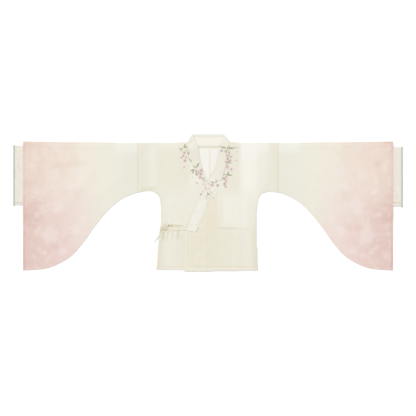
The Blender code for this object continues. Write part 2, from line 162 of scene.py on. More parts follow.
COLLAR_LEFT = [
    (83.0, -38.7, 113.5, 1.3, 2.1), (71.8, -2.6, 111.0, 33.3, 2.1),
    (58.0, 38.4, 105.8, 66.6, 2.3), (46.1, 76.8, 98.3, 99.9, 2.7),
    (36.9, 117.8, 88.1, 138.3, 3.1), (24.6, 156.2, 76.8, 174.1, 3.45),
    (8.2, 189.5, 59.4, 215.1, 3.6), (-14.3, 230.4, 29.7, 257.1, 3.6),
    (-33.8, 274.0, 7.7, 286.8, 3.6), (-62.0, 337.0, -17.0, 353.3, 3.6),
    (-90.0, 396.4, -43.0, 414.8, 3.6), (-111.0, 455.0, -60.0, 460.5, 3.6),
]


class Side(Enum):
    """The wearer's right or left, with the sign of X there."""

    RIGHT = -1
    LEFT = 1

    @property
    def word(self) -> str:
        """The side's name as the solids use it."""
        return self.name.lower()


# The cuffs' upper and lower edges, as drops below the shoulder line
CUFF_EDGES = {Side.RIGHT: (18, 323), Side.LEFT: (26, 330)}


@dataclass(frozen=True)
class Crease:
    """A soft ridge between two ends, or a trough where the height is below 0, in millimetres."""

    x0: float
    d0: float
    x1: float
    d1: float
    width: float
    height: float

    def rise(self, x: float, d: float) -> float:
        """How far the crease lifts the cloth over a point.

        Args:
            x: The point across.
            d: The point down from the shoulder line.

        Returns:
            The lift, fading out at both ends of the crease.
        """
        ax, ad = x - self.x0 * MM, d - self.d0 * MM
        lx, ld = (self.x1 - self.x0) * MM, (self.d1 - self.d0) * MM
        long = math.hypot(lx, ld)
        t = (ax * lx + ad * ld) / long ** 2
        across = abs(ax * ld - ad * lx) / long
        if not -0.05 < t < 1.05 or across > 4 * self.width * MM:
            return 0.0
        ends = smooth(-0.05, 0.2, t) * (1 - smooth(0.75, 1.05, t))
        return self.height * MM * ends * math.exp(-(across / (self.width * MM)) ** 2)


def creases(*rows: Row) -> list[Crease]:
    """Creases from rows of their two ends, width and height."""
    return [Crease(*row) for row in rows]


# Gathers under the waist tie, and the finer puckers above it
GATHERS = creases(
    (-238, 476, -242, 512, 4.5, 1.6), (-213, 466, -215, 508, 4.5, 2.4),
    (-190, 457, -190, 503, 4.5, 2.7), (-165, 457, -165, 510, 4.5, 3.0),
    (-139, 457, -138, 506, 4.0, 2.6), (-222, 392, -224, 412, 4.5, 1.2),
    (-190, 398, -191, 434, 5.0, 1.6), (-160, 402, -158, 434, 5.0, 1.4),
    (-202, 457, -203, 492, 3.0, -0.8), (-177, 457, -176, 498, 3.0, -0.8),
    (-151, 457, -150, 502, 3.2, -1.2), (-226, 462, -229, 496, 4.0, -0.9),
    (-176, 405, -175, 432, 4.0, -0.5), (-205, 404, -206, 430, 3.5, -0.4),
    (-240, 421, -112, 422, 6.0, 1.2), (-234, 431, -114, 432, 3.5, -0.6),
)
# Painted shade in the folds of the gathers, under the arm and by the knot, deeper where cloth lies double;
# the last number is how much
FOLD_SHADE_RIGHT = creases(
    (-220, 429, -176, 429, 6.5, 1.1), (-188, 430, -122, 431, 5.0, 0.65),
    (-350, 241, -262, 239, 9.0, 0.28), (-206, 454, -128, 455, 4.0, 0.3),
    (-238, 444, -240, 470, 7.0, 0.75), (-226, 452, -229, 506, 8.0, 0.55),
    (-203, 452, -205, 490, 5.0, 0.2), (-177, 455, -176, 500, 4.5, 0.25),
    (-150, 448, -150, 502, 4.5, 0.7), (-208, 416, -209, 436, 5.0, 0.4),
)
FOLD_SHADE_LEFT = creases(
    (30, 440, 150, 441, 5.0, 0.35),
)
WAIST_CREASES = creases(
    (60, 436, 236, 438, 8.0, 1.3), (48, 449, 190, 452, 5.0, -0.5),
)
FRONT_CREASES_RIGHT = creases(
    (-150, 60, -168, 330, 18.0, 0.7), (-210, 90, -196, 250, 14.0, 0.5),
    (-300, 30, -292, 210, 12.0, 0.5), (-190, 540, -196, 640, 12.0, 0.8),
    (-228, 560, -236, 640, 9.0, 0.6), (-100, 250, -140, 380, 16.0, 0.6),
)
FRONT_CREASES_LEFT = creases(
    (150, 40, 176, 300, 22.0, 0.8), (222, 60, 214, 240, 14.0, 0.6), (292, 24, 286, 220, 13.0, 0.6),
    (96, 280, 120, 415, 16.0, 0.6), (150, 470, 158, 620, 15.0, 0.8), (92, 480, 84, 610, 11.0, 0.5),
    (206, 480, 212, 640, 9.0, 0.5),
)
LAPEL_CREASES = creases(
    (-52, 470, -50, 640, 12.0, 0.5), (-88, 500, -92, 610, 9.0, 0.4),
)
UNDERARM_CREASES = creases(
    (268, 232, 316, 206, 7.0, 1.5), (262, 262, 300, 222, 6.0, 1.2), (283, 246, 326, 226, 4.0, 0.7),
)
SLEEVE_CREASES = creases(
    (395, 24, 920, 23, 8.0, 0.8), (420, 150, 640, 330, 26.0, 1.6), (560, 120, 820, 420, 30.0, 1.8),
    (700, 470, 860, 560, 24.0, 1.4),
)
SLEEVE_FINE_RIGHT = creases(
    (380, 31, 900, 32, 3.6, -0.4), (395, 60, 452, 240, 12.0, 0.6), (640, 60, 612, 300, 14.0, 0.5),
    (760, 90, 742, 330, 17.0, 0.6), (858, 340, 838, 600, 15.0, 0.7),
    (690, 380, 760, 560, 12.0, 0.5), (905, 380, 897, 620, 10.0, 0.5),
)
SLEEVE_FINE_LEFT = creases(
    (372, 31, 930, 30, 3.6, -0.5), (410, 80, 478, 260, 13.0, 0.6), (598, 50, 590, 250, 12.0, 0.6),
    (700, 70, 716, 360, 16.0, 0.5), (830, 380, 802, 590, 17.0, 0.8),
    (740, 420, 790, 560, 11.0, 0.5), (898, 350, 910, 600, 11.0, 0.6),
)

# Large pale blossoms brushed on each sleeve: distance from the centre, drop, size, turn in radians
BLOOMS = [
    (811, 478, 56, 0.3), (762, 332, 42, 1.1), (790, 168, 40, 2.0), (690, 150, 36, 0.7),
    (700, 222, 24, 0.1), (634, 392, 30, 1.6), (682, 452, 34, 0.9), (772, 30, 32, 0.4),
    (876, 372, 20, 1.3), (838, 566, 18, 0.6), (905, 120, 22, 1.0), (742, 560, 26, 1.8),
    (848, 256, 22, 2.4), (585, 290, 20, 0.5),
]

# Where the wash ran down the fronts: colour, share, left and right edge, softness there, then the drops
# at which it starts, is full, starts to fade and is gone
FRONT_WASHES = [
    ("EADDC2", 0.4, 5, 37, 11, 260, 290, 400, 500),
    ("DCD2B6", 0.18, -1.5, 3, 1.5, 240, 270, 700, 800),
    ("F6F4EC", 0.6, 178, 238, 32, -200, -100, 200, 340),
    ("E8E3CF", 0.6, -245, -115, 35, -40, 50, 180, 320),
    ("E8E3D3", 0.7, 112, 148, 34, -200, -100, 200, 300),
    ("F5F3EB", 0.4, 90, 185, 30, 250, 300, 400, 450),
]


def smooth(a: float, b: float, t: float) -> float:
    """0 at a and 1 at b, with a level start and end."""
    t = max(0.0, min(1.0, (t - a) / (b - a)))
    return t * t * (3 - 2 * t)


def plateau(low: float, high: float, soft: float, t: float) -> float:
    """1 from low to high, falling to 0 over a soft shoulder outside."""
    return smooth(low - soft, low, t) * (1 - smooth(high, high + soft, t))


def bloom(out: float, d: float) -> float:
    """How deep in a pale painted blossom a point of the sleeve lies, from 0 to 1.

    Args:
        out: Out from the centre.
        d: Down from the shoulder line.

    Returns:
        The depth, 0 between the blossoms.
    """
    depth = 0.0
    for x, drop, size, turn in BLOOMS:
        ax, ad = out - x * MM, d - drop * MM
        lobes = 0.72 + 0.28 * abs(math.cos(PETALS / 2 * math.atan2(ad, ax) + turn))
        depth = max(depth, 1 - smooth(0.45, 1.15, math.hypot(ax, ad) / (size * MM * lobes)))
    return depth


def raised(low: float, high: float, at: float) -> float:
    """The step where an allowance or a hem lies under the cloth, from low to high."""
    return ALLOWANCE * plateau(low, high, STEP, at)


def furrow(far: float) -> float:
    """How deep a seam draws the cloth in at a distance from it."""
    return GROOVE * math.exp(-(far / STEP) ** 2)


def dip(out: float, d: float) -> float:
    """How far a point of body or sleeve lies below its place under a straight shoulder line.

    Args:
        out: Out from the centre.
        d: Down from the shoulder line.

    Returns:
        The distance, below 0 where it lies higher.
    """
    shallow = 1 - smooth(0.0, 0.14, d)
    for (x0, low0), (x1, low1) in zip(SHOULDER_DIP, SHOULDER_DIP[1:]):
        if out <= x1 * MM:
            return shallow * (low0 + (low1 - low0) * smooth(x0 * MM, x1 * MM, out)) * MM
    return shallow * SHOULDER_DIP[-1][1] * MM


def curve(rows: Sequence[Row], parts: int) -> list[Row]:
    """Points on a smooth line through rows.

    Args:
        rows: The points that the line goes through, of any number of columns.
        parts: How many steps a span is cut into.

    Returns:
        The points along the line, both ends among them.
    """
    out = []
    for i in range(len(rows) - 1):
        p0, p1, p2 = rows[max(i - 1, 0)], rows[i], rows[i + 1]
        p3 = rows[min(i + 2, len(rows) - 1)]
        for k in range(parts):
            t = k / parts
            out.append(tuple(
                0.5 * (2 * b + (c - a) * t + (2 * a - 5 * b + 4 * c - e) * t * t
                       + (3 * b - a - 3 * c + e) * t ** 3)
                for a, b, c, e in zip(p0, p1, p2, p3)))
    out.append(tuple(rows[-1]))
    return out


def metres(rows: Sequence[Row]) -> list[Row]:
    """Rows of millimetres in metres."""
    return [tuple(n * MM for n in row) for row in rows]


def offset(line: Sequence[Row], by: float) -> list[Point]:
    """Moves a line sideways.

    Args:
        line: The line's points, x and d.
        by: The distance; above 0 is to its right.

    Returns:
        The moved points.
    """
    out = []
    for i, p in enumerate(line):
        a, b = line[max(i - 1, 0)], line[min(i + 1, len(line) - 1)]
        dx, dy = b[0] - a[0], b[1] - a[1]
        n = math.hypot(dx, dy)
        out.append((p[0] + by * dy / n, p[1] - by * dx / n))
    return out


def steps(a: float, b: float, size: float) -> list[float]:
    """Even steps of about a size from a to b, both among them."""
    n = max(1, round(abs(b - a) / size))
    return [a + (b - a) * i / n for i in range(n + 1)]


def walk(line: Sequence[Row], pitch: float) -> list[tuple[float, float, float]]:
    """Places at an even pitch along a line, each with the line's heading there.

    Args:
        line: The line's points, x and d in metres.
        pitch: The distance from one place to the next.

    Returns:
        Rows of x, d and heading in radians, with d counted upwards for the heading.
    """
    out, carried = [], pitch / 2
    for (x0, d0, *_), (x1, d1, *_) in zip(line, line[1:]):
        long = math.hypot(x1 - x0, d1 - d0)
        at = carried
        while at < long:
            t = at / long
            out.append((x0 + (x1 - x0) * t, d0 + (d1 - d0) * t, math.atan2(d0 - d1, x1 - x0)))
            at += pitch
        carried = at - long
    return out


def ripple(x: float, d: float, span: float, seed: float) -> float:
    """Uneven lie of thin cloth: from -1 to 1, changing over about a span."""
    return noise.noise(Vector((x / span, d / span, seed)))


def laid(x: float, d: float, z: float) -> Vector:
    """The point at a place on the laid jacket."""
    return Vector((x, SHOULDER_Y - d, z))


def linear(code: str) -> Colour:
    """The linear colour of an sRGB hex code, taken back by what the light adds.

    Args:
        code: Six hex digits.

    Returns:
        Red, green, blue, and 1 for alpha.
    """
    parts = [int(code[i:i + 2], 16) / 255 for i in (0, 2, 4)]
    flat = [p / 12.92 if p <= 0.04045 else ((p + 0.055) / 1.055) ** 2.4 for p in parts]
    return (flat[0] / LIGHT, flat[1] / LIGHT, flat[2] / LIGHT, 1.0)


class Dye:
    """One cloth's colour and relief, laid on from the ground up.

    Args:
        name: The material's name.
        roughness: The face's roughness.
        sheen: How much light the fibre ends catch.
    """

    def __init__(self, name: str, roughness: float, sheen: float) -> None:
        """Starts the material and takes the places that its masks work from."""
        self.material = bpy.data.materials.new(name)
        self.material.use_nodes = True
        self.tree = self.material.node_tree
        self.shader = self.tree.nodes["Principled BSDF"]
        fixed = {"Roughness": roughness, "Sheen Weight": sheen, "Sheen Tint": linear("FFFFFF"),
                 "Specular IOR Level": 0.25}
        for key, value in fixed.items():
            self.shader.inputs[key].default_value = value
        place = self.add("ShaderNodeTexCoord", {})
        self.place, self.uv, self.facing = place["Object"], place["UV"], place["Normal"]
        self.x, y, self.z = self.split(self.place)
        self.d = self.maths("SUBTRACT", SHOULDER_Y, y)
        self.out = self.maths("ABSOLUTE", self.x)
        self.ground: object = linear("FFFFFF")

    def add(self, kind: str, inputs: dict, settings: dict | None = None,
            stops: Stops = ()) -> bpy.types.NodeOutputs:
        """Adds a node with its settings and links.

        Args:
            kind: The node's Blender type.
            inputs: What each input takes, by number or name: a value, or another node's output.
            settings: The node's own settings.
            stops: The places and hex colours of a colour ramp.

        Returns:
            The node's outputs.
        """
        made = self.tree.nodes.new(kind)
        for key, value in (settings or {}).items():
            setattr(made, key, value)
        for key, value in inputs.items():
            if isinstance(value, Socket):
                self.tree.links.new(value, made.inputs[key])
            else:
                made.inputs[key].default_value = value
        if stops:
            points = made.color_ramp.elements
            for _ in stops[2:]:
                points.new(0.5)
            for point, (place, _) in zip(points, stops):
                point.position = place
            for point, (_, code) in zip(points, stops):
                point.color = linear(code)
        return made.outputs

    def split(self, vector: Socket) -> Sequence[Socket]:
        """The three parts of a place."""
        return self.add("ShaderNodeSeparateXYZ", {0: vector})[:]

    def combine(self, x: Socket, y: Socket | float = 0.0) -> Socket:
        """A place that is made of two parts."""
        return self.add("ShaderNodeCombineXYZ", {0: x, 1: y})[0]

    def maths(self, what: str, a: object, b: object = 0.0) -> Socket:
        """Works out one number from two."""
        return self.add("ShaderNodeMath", {0: a, 1: b}, {"operation": what})[0]

    def times(self, first: object, *others: object) -> Socket:
        """The product of numbers or masks.

        Args:
            first: The first factor.
            others: The other factors.

        Returns:
            Their product.
        """
        for other in others:
            first = self.maths("MULTIPLY", first, other)
        return first

    def fade(self, value: Socket, start: float, end: float) -> Socket:
        """0 at start and 1 at end, or the other way round where end is lower.

        Args:
            value: What the fade follows.
            start: Where it is 0.
            end: Where it is 1.

        Returns:
            A mask that starts and ends level.
        """
        low, high = sorted((start, end))
        turned = float(start > end)
        return self.add("ShaderNodeMapRange", {0: value, 1: low, 2: high, 3: turned, 4: 1 - turned},
                        {"interpolation_type": "SMOOTHSTEP"})[0]

    def band(self, value: Socket, low: float, high: float, soft: float) -> Socket:
        """1 between low and high, with soft edges outside."""
        return self.times(self.fade(value, low - soft, low), self.fade(value, high + soft, high))

    def scaled(self, value: Socket, low: float, high: float, start: float = 0.0,
               end: float = 1.0) -> Socket:
        """A value from start to end, spread evenly over low to high."""
        return self.add("ShaderNodeMapRange", {0: value, 1: start, 2: end, 3: low, 4: high})[0]

    def cloudy(self, span: float, detail: float = 2.0, seed: float = 0.0) -> Socket:
        """Soft clouds about a span across, from 0 to 1."""
        shifted = self.add("ShaderNodeMapping", {0: self.place, 1: (seed, seed * 0.7, 0.0)})[0]
        return self.add("ShaderNodeTexNoise", {"Vector": shifted, "Scale": 1 / span, "Detail": detail})[0]

    def uneven(self, value: Socket, clouds: Socket, reach: float) -> Socket:
        """A distance that clouds shift to and fro, so that no tint ends on a straight line."""
        return self.maths("ADD", value, self.times(self.maths("SUBTRACT", clouds, 0.5), reach))

    def written(self, name: str) -> Socket:
        """The number that the mesh's points carry under a name."""
        return self.add("ShaderNodeAttribute", {}, {"attribute_name": name})["Fac"]

    def upward(self) -> Socket:
        """1 where the face looks up, and 0 where it looks down or aside."""
        return self.fade(self.split(self.facing)[2], 0.0, 0.5)

    def ramp(self, value: Socket, stops: Stops) -> Socket:
        """The shade between stops at a value."""
        return self.add("ShaderNodeValToRGB", {0: value}, stops=stops)[0]

    def mix(self, base: object, colour: object, amount: object) -> Socket:
        """A base colour that gives way to another by an amount from 0 to 1."""
        under, top = (linear(part) if isinstance(part, str) else part for part in (base, colour))
        return self.add("ShaderNodeMix", {0: amount, 6: under, 7: top}, {"data_type": "RGBA"})[2]

    def lay(self, colour: object, share: float, *masks: Socket) -> None:
        """Lays a colour over the ground.

        Args:
            colour: Its hex code, or shades that a node gives.
            share: How much of the ground it hides, from 0 to 1.
            masks: Where it lies; more than one are multiplied.
        """
        self.ground = self.mix(self.ground, colour, self.times(*masks, share))

    def waves(self, vector: Socket, period: float, direction: str = "X", wander: float = 0.0) -> Socket:
        """Even threads, a period apart, across a direction of the vector.

        Args:
            vector: The place to draw at.
            period: The distance from one to the next.
            direction: The axis that they are counted along.
            wander: How far they stray from straight.

        Returns:
            Their height, from 0 to 1.
        """
        scale = math.pi / 10 / period
        return self.add("ShaderNodeTexWave", {"Vector": vector, "Scale": scale, "Distortion": wander},
                        {"bands_direction": direction})[1]

    def weave(self, vector: Socket, pitch: float, wander: float = 0.6) -> Socket:
        """A plain weave's threads, a pitch apart both ways, as a height from 0 to 1."""
        down, over = (self.waves(vector, pitch, direction, wander) for direction in "XY")
        return self.times(self.maths("ADD", down, over), 0.5)

    def relief(self, height: Socket, depth: float, under: Socket | None = None) -> Socket:
        """Raises a height pattern on the face, over another relief where there is one.

        Args:
            height: The pattern, from 0 to 1.
            depth: How high 1 stands, in metres.
            under: The relief that it lies on.

        Returns:
            The face's normal.
        """
        inputs = {"Height": height, "Distance": depth, "Strength": 1.0}
        if under is not None:
            inputs["Normal"] = under
        return self.add("ShaderNodeBump", inputs)[0]

    def finish(self, normal: Socket | None = None, rough: Socket | None = None) -> Material:
        """Joins the colour, relief and roughness to the shader and gives the material.

        Args:
            normal: The relief.
            rough: The roughness, where it changes.

        Returns:
            The material.
        """
        for name, socket in (("Base Color", self.ground), ("Normal", normal), ("Roughness", rough)):
            if socket is not None:
                self.tree.links.new(socket, self.shader.inputs[name])
        return self.material


def tint_hem_and_fold_shade(dye: Dye, *within: Socket) -> None:
    """Tints the hem, which is paler as it lies double, and paints shade on the fold that it is turned up
    on.
    """
    dye.lay("F0E9DC", 0.5, dye.fade(dye.d, HEM_LINE, HEM_LINE + 3 * MM), *within)
    # Painted shade on the fold where the hem is turned up
    dye.lay("D6CEB2", 0.35, dye.band(dye.d, HEM_LINE - STEP, HEM_LINE + STEP, STEP), *within)


def finish_chiffon(dye: Dye) -> Material:
    """Gives a dyed chiffon its threads, its crepe grain and its uneven shine.

    Args:
        dye: The cloth, with its colours laid.

    Returns:
        The material.
    """
    crepe = dye.cloudy(5 * MM, 3.0, 1.0)
    # Real chiffon has about 30 threads to the centimetre; drawn five times as coarse so that it shows
    normal = dye.relief(dye.weave(dye.place, 1.6 * MM), 0.05 * MM, dye.relief(crepe, 0.25 * MM))
    return dye.finish(normal, dye.scaled(crepe, 0.74, 0.9))


@dataclass(frozen=True)
class ShadedChiffon:
    """Silk chiffon, hand-shaded from ivory to rose. Matt, with a faint bloom, and pale blossoms in it."""

    name: str = "silk_chiffon_shaded"
    # Places are metres from the centre: body, armhole, then along the sleeve to its mouth
    top: tuple[tuple[float, str], ...] = (
        (0.0, "EFECDF"), (0.20, "F0EEE4"), (0.32, "EAE7D9"), (0.39, "E9E8DB"), (0.527, "EEEBDC"),
        (0.655, "F1E8DC"), (0.809, "EFDFD4"), (0.945, "EAD5C8"),
    )
    low: tuple[tuple[float, str], ...] = (
        (0.0, "E9E4D1"), (0.20, "ECE8DA"), (0.32, "E8E4D4"), (0.39, "E8E8DB"), (0.527, "ECE6DA"),
        (0.655, "EDDBD4"), (0.809, "E8CFC8"), (0.945, "E1C6BE"),
    )
    blossom_cell: float = 105 * MM

    def make(self) -> Material:
        """Builds the material of both halves and both sleeves, which runs on over the seams.

        Returns:
            The material.
        """
        dye = Dye(self.name, 0.82, 0.25)
        far = dye.uneven(dye.out, dye.cloudy(0.11), 0.10)
        drop = dye.uneven(dye.d, dye.cloudy(0.2, seed=3.0), 0.2)
        dye.ground = dye.mix(dye.ramp(far, self.top), dye.ramp(far, self.low), dye.fade(drop, 0.10, 0.58))
        self.mottle(dye)
        self.blossoms(dye)
        dye.lay("F2E7E3", 0.42, dye.written("bloom"))
        self.crown(dye)
        before = dye.ground
        self.back(dye)
        back, dye.ground = dye.ground, before
        self.front(dye)
        dye.ground = dye.mix(back, dye.ground, dye.upward())
        self.edges(dye)
        self.inside(dye)
        return finish_chiffon(dye)

    def mottle(self, dye: Dye) -> None:
        """The brush's uneven wash: cooler and warmer clouds, stronger towards the mouths.

        Args:
            dye: The cloth.
        """
        drop = dye.uneven(dye.d, dye.cloudy(0.06, 2.0, 11.0), 0.16)
        dye.lay("D9AEA6", 0.3, dye.band(drop, 0.33, 0.41, 0.05), dye.fade(dye.out, 0.78, 0.92))
        dye.lay("E6CBB0", 0.14, dye.band(dye.out, 0.70, 0.85, 0.05), dye.fade(dye.d, 0.25, 0.14))
        strength = dye.fade(dye.out, 0.50, 0.92)
        dye.lay("F2E6DD", 0.42, dye.fade(dye.cloudy(0.05, 3.0, 5.0), 0.50, 0.74), strength)
        dye.lay("DDB9AE", 0.48, dye.fade(dye.cloudy(0.08, 2.0, 8.0), 0.50, 0.78), strength)
        dye.lay("F4F2E6", 0.22, dye.fade(dye.cloudy(0.035, 2.0, 2.0), 0.50, 0.80))

    def blossoms(self, dye: Dye) -> None:
        """Small pale five-petalled blossoms, one to a cell and each turned and sized by chance.

        Args:
            dye: The cloth.
        """
        cell = dye.add("ShaderNodeTexVoronoi", {"Vector": dye.place, "Scale": 1 / self.blossom_cell},
                       {"voronoi_dimensions": "2D"})
        chance = dye.add("ShaderNodeSeparateColor", {0: cell["Color"]})
        ends = {0: dye.place, 1: cell["Position"]}
        arm = dye.add("ShaderNodeVectorMath", ends, {"operation": "SUBTRACT"})[0]
        ax, ay, _ = dye.split(arm)
        reach = dye.maths("SQRT", dye.maths("ADD", dye.times(ax, ax), dye.times(ay, ay)))
        turn = dye.times(dye.maths("ARCTAN2", ay, ax), PETALS / 2)
        turn = dye.maths("ADD", turn, dye.times(chance[0], math.tau))
        lobes = dye.scaled(dye.maths("ABSOLUTE", dye.maths("COSINE", turn)), 0.5, 1.0)
        share = dye.maths("DIVIDE", reach, dye.times(dye.scaled(chance[1], 11 * MM, 34 * MM), lobes))
        fading = dye.times(dye.fade(dye.out, 0.42, 0.80), dye.fade(chance[2], 0.25, 0.8))
        dye.lay("F4E9E2", 0.3, dye.fade(share, 1.15, 0.6), fading)
        dye.lay("E3B9AC", 0.25, dye.fade(share, 0.3, 0.1), fading)

    def crown(self, dye: Dye) -> None:
        """The pale upper fold, and the armhole seams with their allowances.

        Args:
            dye: The cloth.
        """
        spans = dye.maths("ADD", dye.band(dye.x, -0.235, -0.165, 0.03), dye.band(dye.x, 0.17, 0.30, 0.03))
        spans = dye.maths("ADD", spans, dye.band(dye.out, 0.37, 0.46, 0.03))
        dye.lay("F8F6EE", 0.5, spans, dye.fade(dye.d, 0.075, 0.03))
        dye.lay("F7F5EC", 0.18, dye.band(dye.out, 0.215, 0.29, 0.03), dye.fade(dye.d, 0.25, 0.15))
        dye.lay("E6DCBF", 0.14, dye.band(dye.out, ARMHOLE - SEAM_STRIP, ARMHOLE, 3 * MM))
        dye.lay("CFC9AE", 0.3, dye.band(dye.out, ARMHOLE - 1 * MM, ARMHOLE + 2.5 * MM, 2 * MM))

    def back(self, dye: Dye) -> None:
        """The back: the seam down its centre, with the allowances pressed to both sides."""
        dye.lay("E6DCBF", 0.4, dye.band(dye.x, CENTRE_BACK - 11 * MM, CENTRE_BACK + 11 * MM, 2 * MM))
        dye.lay("CFC9AE", 0.4, dye.band(dye.x, CENTRE_BACK - 1 * MM, CENTRE_BACK + 1 * MM, 1 * MM))

    def front(self, dye: Dye) -> None:
        """The fronts: the strip and seam at the centre, and streaks where the wash ran down.

        Args:
            dye: The cloth.
        """
        for colour, share, left, right, soft, *drops in FRONT_WASHES:
            start, full, last, gone = (drop * MM for drop in drops)
            across = dye.band(dye.x, left * MM, right * MM, soft * MM)
            dye.lay(colour, share, across, dye.fade(dye.d, start, full), dye.fade(dye.d, gone, last))

    def edges(self, dye: Dye) -> None:
        """The hem, the sleeve mouths, the sewn edges, where cloth lies on cloth, and the painted shade of
        the gathers.

        Args:
            dye: The cloth.
        """
        tint_hem_and_fold_shade(dye, dye.fade(dye.out, ARMHOLE - 0.04, ARMHOLE - 0.06))
        patches = dye.scaled(dye.cloudy(0.045, 2.0, 6.0), 0.35, 1.0, 0.35, 0.62)
        lower = dye.scaled(dye.d, 0.2, 0.9, 0.25, 0.62)
        dye.lay("D8AFA4", 1.0, dye.fade(dye.out, MOUTH - 16 * MM, MOUTH), lower, patches)
        dye.lay("DDBDB0", 0.4, dye.fade(dye.d, 42 * MM, 10 * MM), dye.fade(dye.out, 0.83, 0.93))
        # Seam tint: ochre allowance by the armhole; out on the sleeves it is paler than the cloth, painted
        # light that evens out the lower fold's shade
        tint = dye.ramp(dye.out, ((0.24, "D9CDAB"), (0.45, "F4F0E4"), (0.8, "F0D9D2")))
        dye.lay(tint, 0.22, dye.written("seam"))
        # Painted shade in the gathers' folds: olive above the waist tie, ochre below it
        fold_shade_tone = dye.mix("A6A057", "B59F66", dye.fade(dye.d, 0.436, 0.444))
        dye.lay(fold_shade_tone, 0.42, dye.written("fold_shade"))

    def inside(self, dye: Dye) -> None:
        """The inner face of the back panel that shows in the neck, with the seam down its centre.

        Args:
            dye: The cloth.
        """
        neck = dye.times(dye.fade(dye.z, 1.5 * MM, 1.1 * MM), dye.upward())
        dye.lay("F4F2EA", 1.0, neck)
        dye.lay("E6DABA", 0.5, dye.fade(dye.d, 38 * MM, 25 * MM), neck)
        pressed = dye.band(dye.x, CENTRE_BACK - 1 * MM, CENTRE_BACK + 7.5 * MM, 1 * MM)
        dye.lay("F4EBDD", 1.0, pressed, neck)
        sewn = dye.band(dye.x, CENTRE_BACK - 0.5 * MM, CENTRE_BACK + 0.5 * MM, 0.8 * MM)
        dye.lay("EADAC4", 0.6, sewn, neck)


@dataclass(frozen=True)
class LapelChiffon:
    """The same chiffon on the lapels, which are cut apart: a little deeper where it lies double."""

    name: str = "silk_chiffon_lapel"

    def make(self) -> Material:
        """Builds the material of the lapels.

        Returns:
            The material.
        """
        dye = Dye(self.name, 0.82, 0.25)
        dye.ground = dye.mix("EBE6D4", "E8E3CD", dye.fade(dye.cloudy(0.07, 3.0, 4.0), 0.35, 0.75))
        dye.lay("F4F2E6", 0.28, dye.fade(dye.cloudy(0.035, 2.0, 2.0), 0.5, 0.8))
        tint_hem_and_fold_shade(dye)
        # The facing down the free edge, the edge itself, and the seam at the centre front
        dye.lay("F0ECE0", 0.6, dye.fade(dye.x, -LAPEL + 13 * MM, -LAPEL + 11 * MM))
        dye.lay("D8CFB2", 0.25, dye.fade(dye.x, -LAPEL + 3 * MM, -LAPEL + 1 * MM))
        dye.lay("DCD2B6", 0.18, dye.fade(dye.x, -4 * MM, -1 * MM))
        return finish_chiffon(dye)


@dataclass(frozen=True)
class CollarSilk:
    """Closer silk than the body's, folded double over an interlining: smoother, paler, softly shining."""

    name: str = "collar_silk_tabby"

    def make(self) -> Material:
        """Builds the collar's material, across the strip from its sewn edge (0) to its free one (1).

        Returns:
            The material.
        """
        dye = Dye(self.name, 0.68, 0.3)
        across, along, _ = dye.split(dye.uv)
        dye.ground = dye.mix("F0EDE2", "EAE6D9", dye.fade(dye.cloudy(0.03, 3.0, 6.0), 0.35, 0.75))
        dye.lay("E6DFCE", 0.42, dye.fade(dye.d, 0.20, 0.14), dye.fade(dye.d, 0.02, 0.05))
        dye.lay("F2EFE5", 0.4, dye.fade(dye.d, 0.29, 0.33))
        behind = dye.times(dye.fade(dye.d, 30 * MM, 5 * MM), dye.fade(dye.z, 3.0 * MM, 2.2 * MM))
        dye.lay("F8F2E7", 0.85, behind)
        dye.lay("ECEBDF", 0.9, dye.fade(across, 0.76, 0.79), behind)
        dye.lay("CFC8AC", 0.5, dye.band(across, 0.755, 0.775, 0.012), behind)
        on_front = dye.times(dye.fade(dye.d, 5 * MM, 30 * MM), dye.fade(dye.d, 0.42, 0.22))
        dye.lay("D8C9A4", 0.45, dye.fade(across, 0.05, 0.015), on_front)
        # Light comes through the thin edge, which makes it paler than the strip
        dye.lay("FBF8EF", 0.65, dye.fade(across, 0.95, 0.98))
        threads = dye.combine(dye.times(across, 50 * MM), along)
        # Threads of 0.4 mm, drawn at 1.3 mm so that they show
        weave = dye.weave(threads, 1.3 * MM, 0.0)
        return dye.finish(dye.relief(weave, 0.04 * MM, dye.relief(dye.cloudy(8 * MM, 2.0, 9.0), 0.3 * MM)))


@dataclass(frozen=True)
class CuffGauze:
    """Cream gauze with fine cords woven in across the arm, which catch the light as thin lines."""

    name: str = "cuff_corded_gauze"
    cord_pitch: float = 5.2 * MM

    def make(self) -> Material:
        """Builds the cuffs' material.

        Returns:
            The material.
        """
        dye = Dye(self.name, 0.8, 0.25)
        cords = dye.waves(dye.place, self.cord_pitch, wander=0.3)
        dye.ground = dye.mix("E8E2D6", "F2ECE2", dye.fade(cords, 0.2, 0.8))
        dye.lay("DDD0C6", 0.6, dye.fade(dye.cloudy(0.02, 3.0, 3.0), 0.5, 0.8))
        dye.lay("CDBFA8", 0.7, dye.band(dye.d, 309 * MM, 312 * MM, 1 * MM))
        weave = dye.weave(dye.place, 1.4 * MM)
        return dye.finish(dye.relief(weave, 0.05 * MM, dye.relief(cords, 0.25 * MM)))


@dataclass(frozen=True)
class BindingSatin:
    """Grey-green satin cut on the bias: smooth, with slanting threads and a soft shine along the fold."""

    name: str = "binding_satin_grey_green"

    def make(self) -> Material:
        """Builds the cuff bindings' material.

        Returns:
            The material.
        """
        dye = Dye(self.name, 0.42, 0.15)
        slant = dye.add("ShaderNodeMapping", {0: dye.place, 2: (0.0, 0.0, math.radians(45))})[0]
        threads = dye.waves(slant, 1.2 * MM, wander=0.4)
        dye.ground = dye.mix("BFC4B3", "CCD0C1", dye.fade(threads, 0.2, 0.8))
        dye.lay("B0B6A3", 0.5, dye.fade(dye.cloudy(0.03, 2.0, 7.0), 0.45, 0.8))
        return dye.finish(dye.relief(threads, 0.06 * MM))


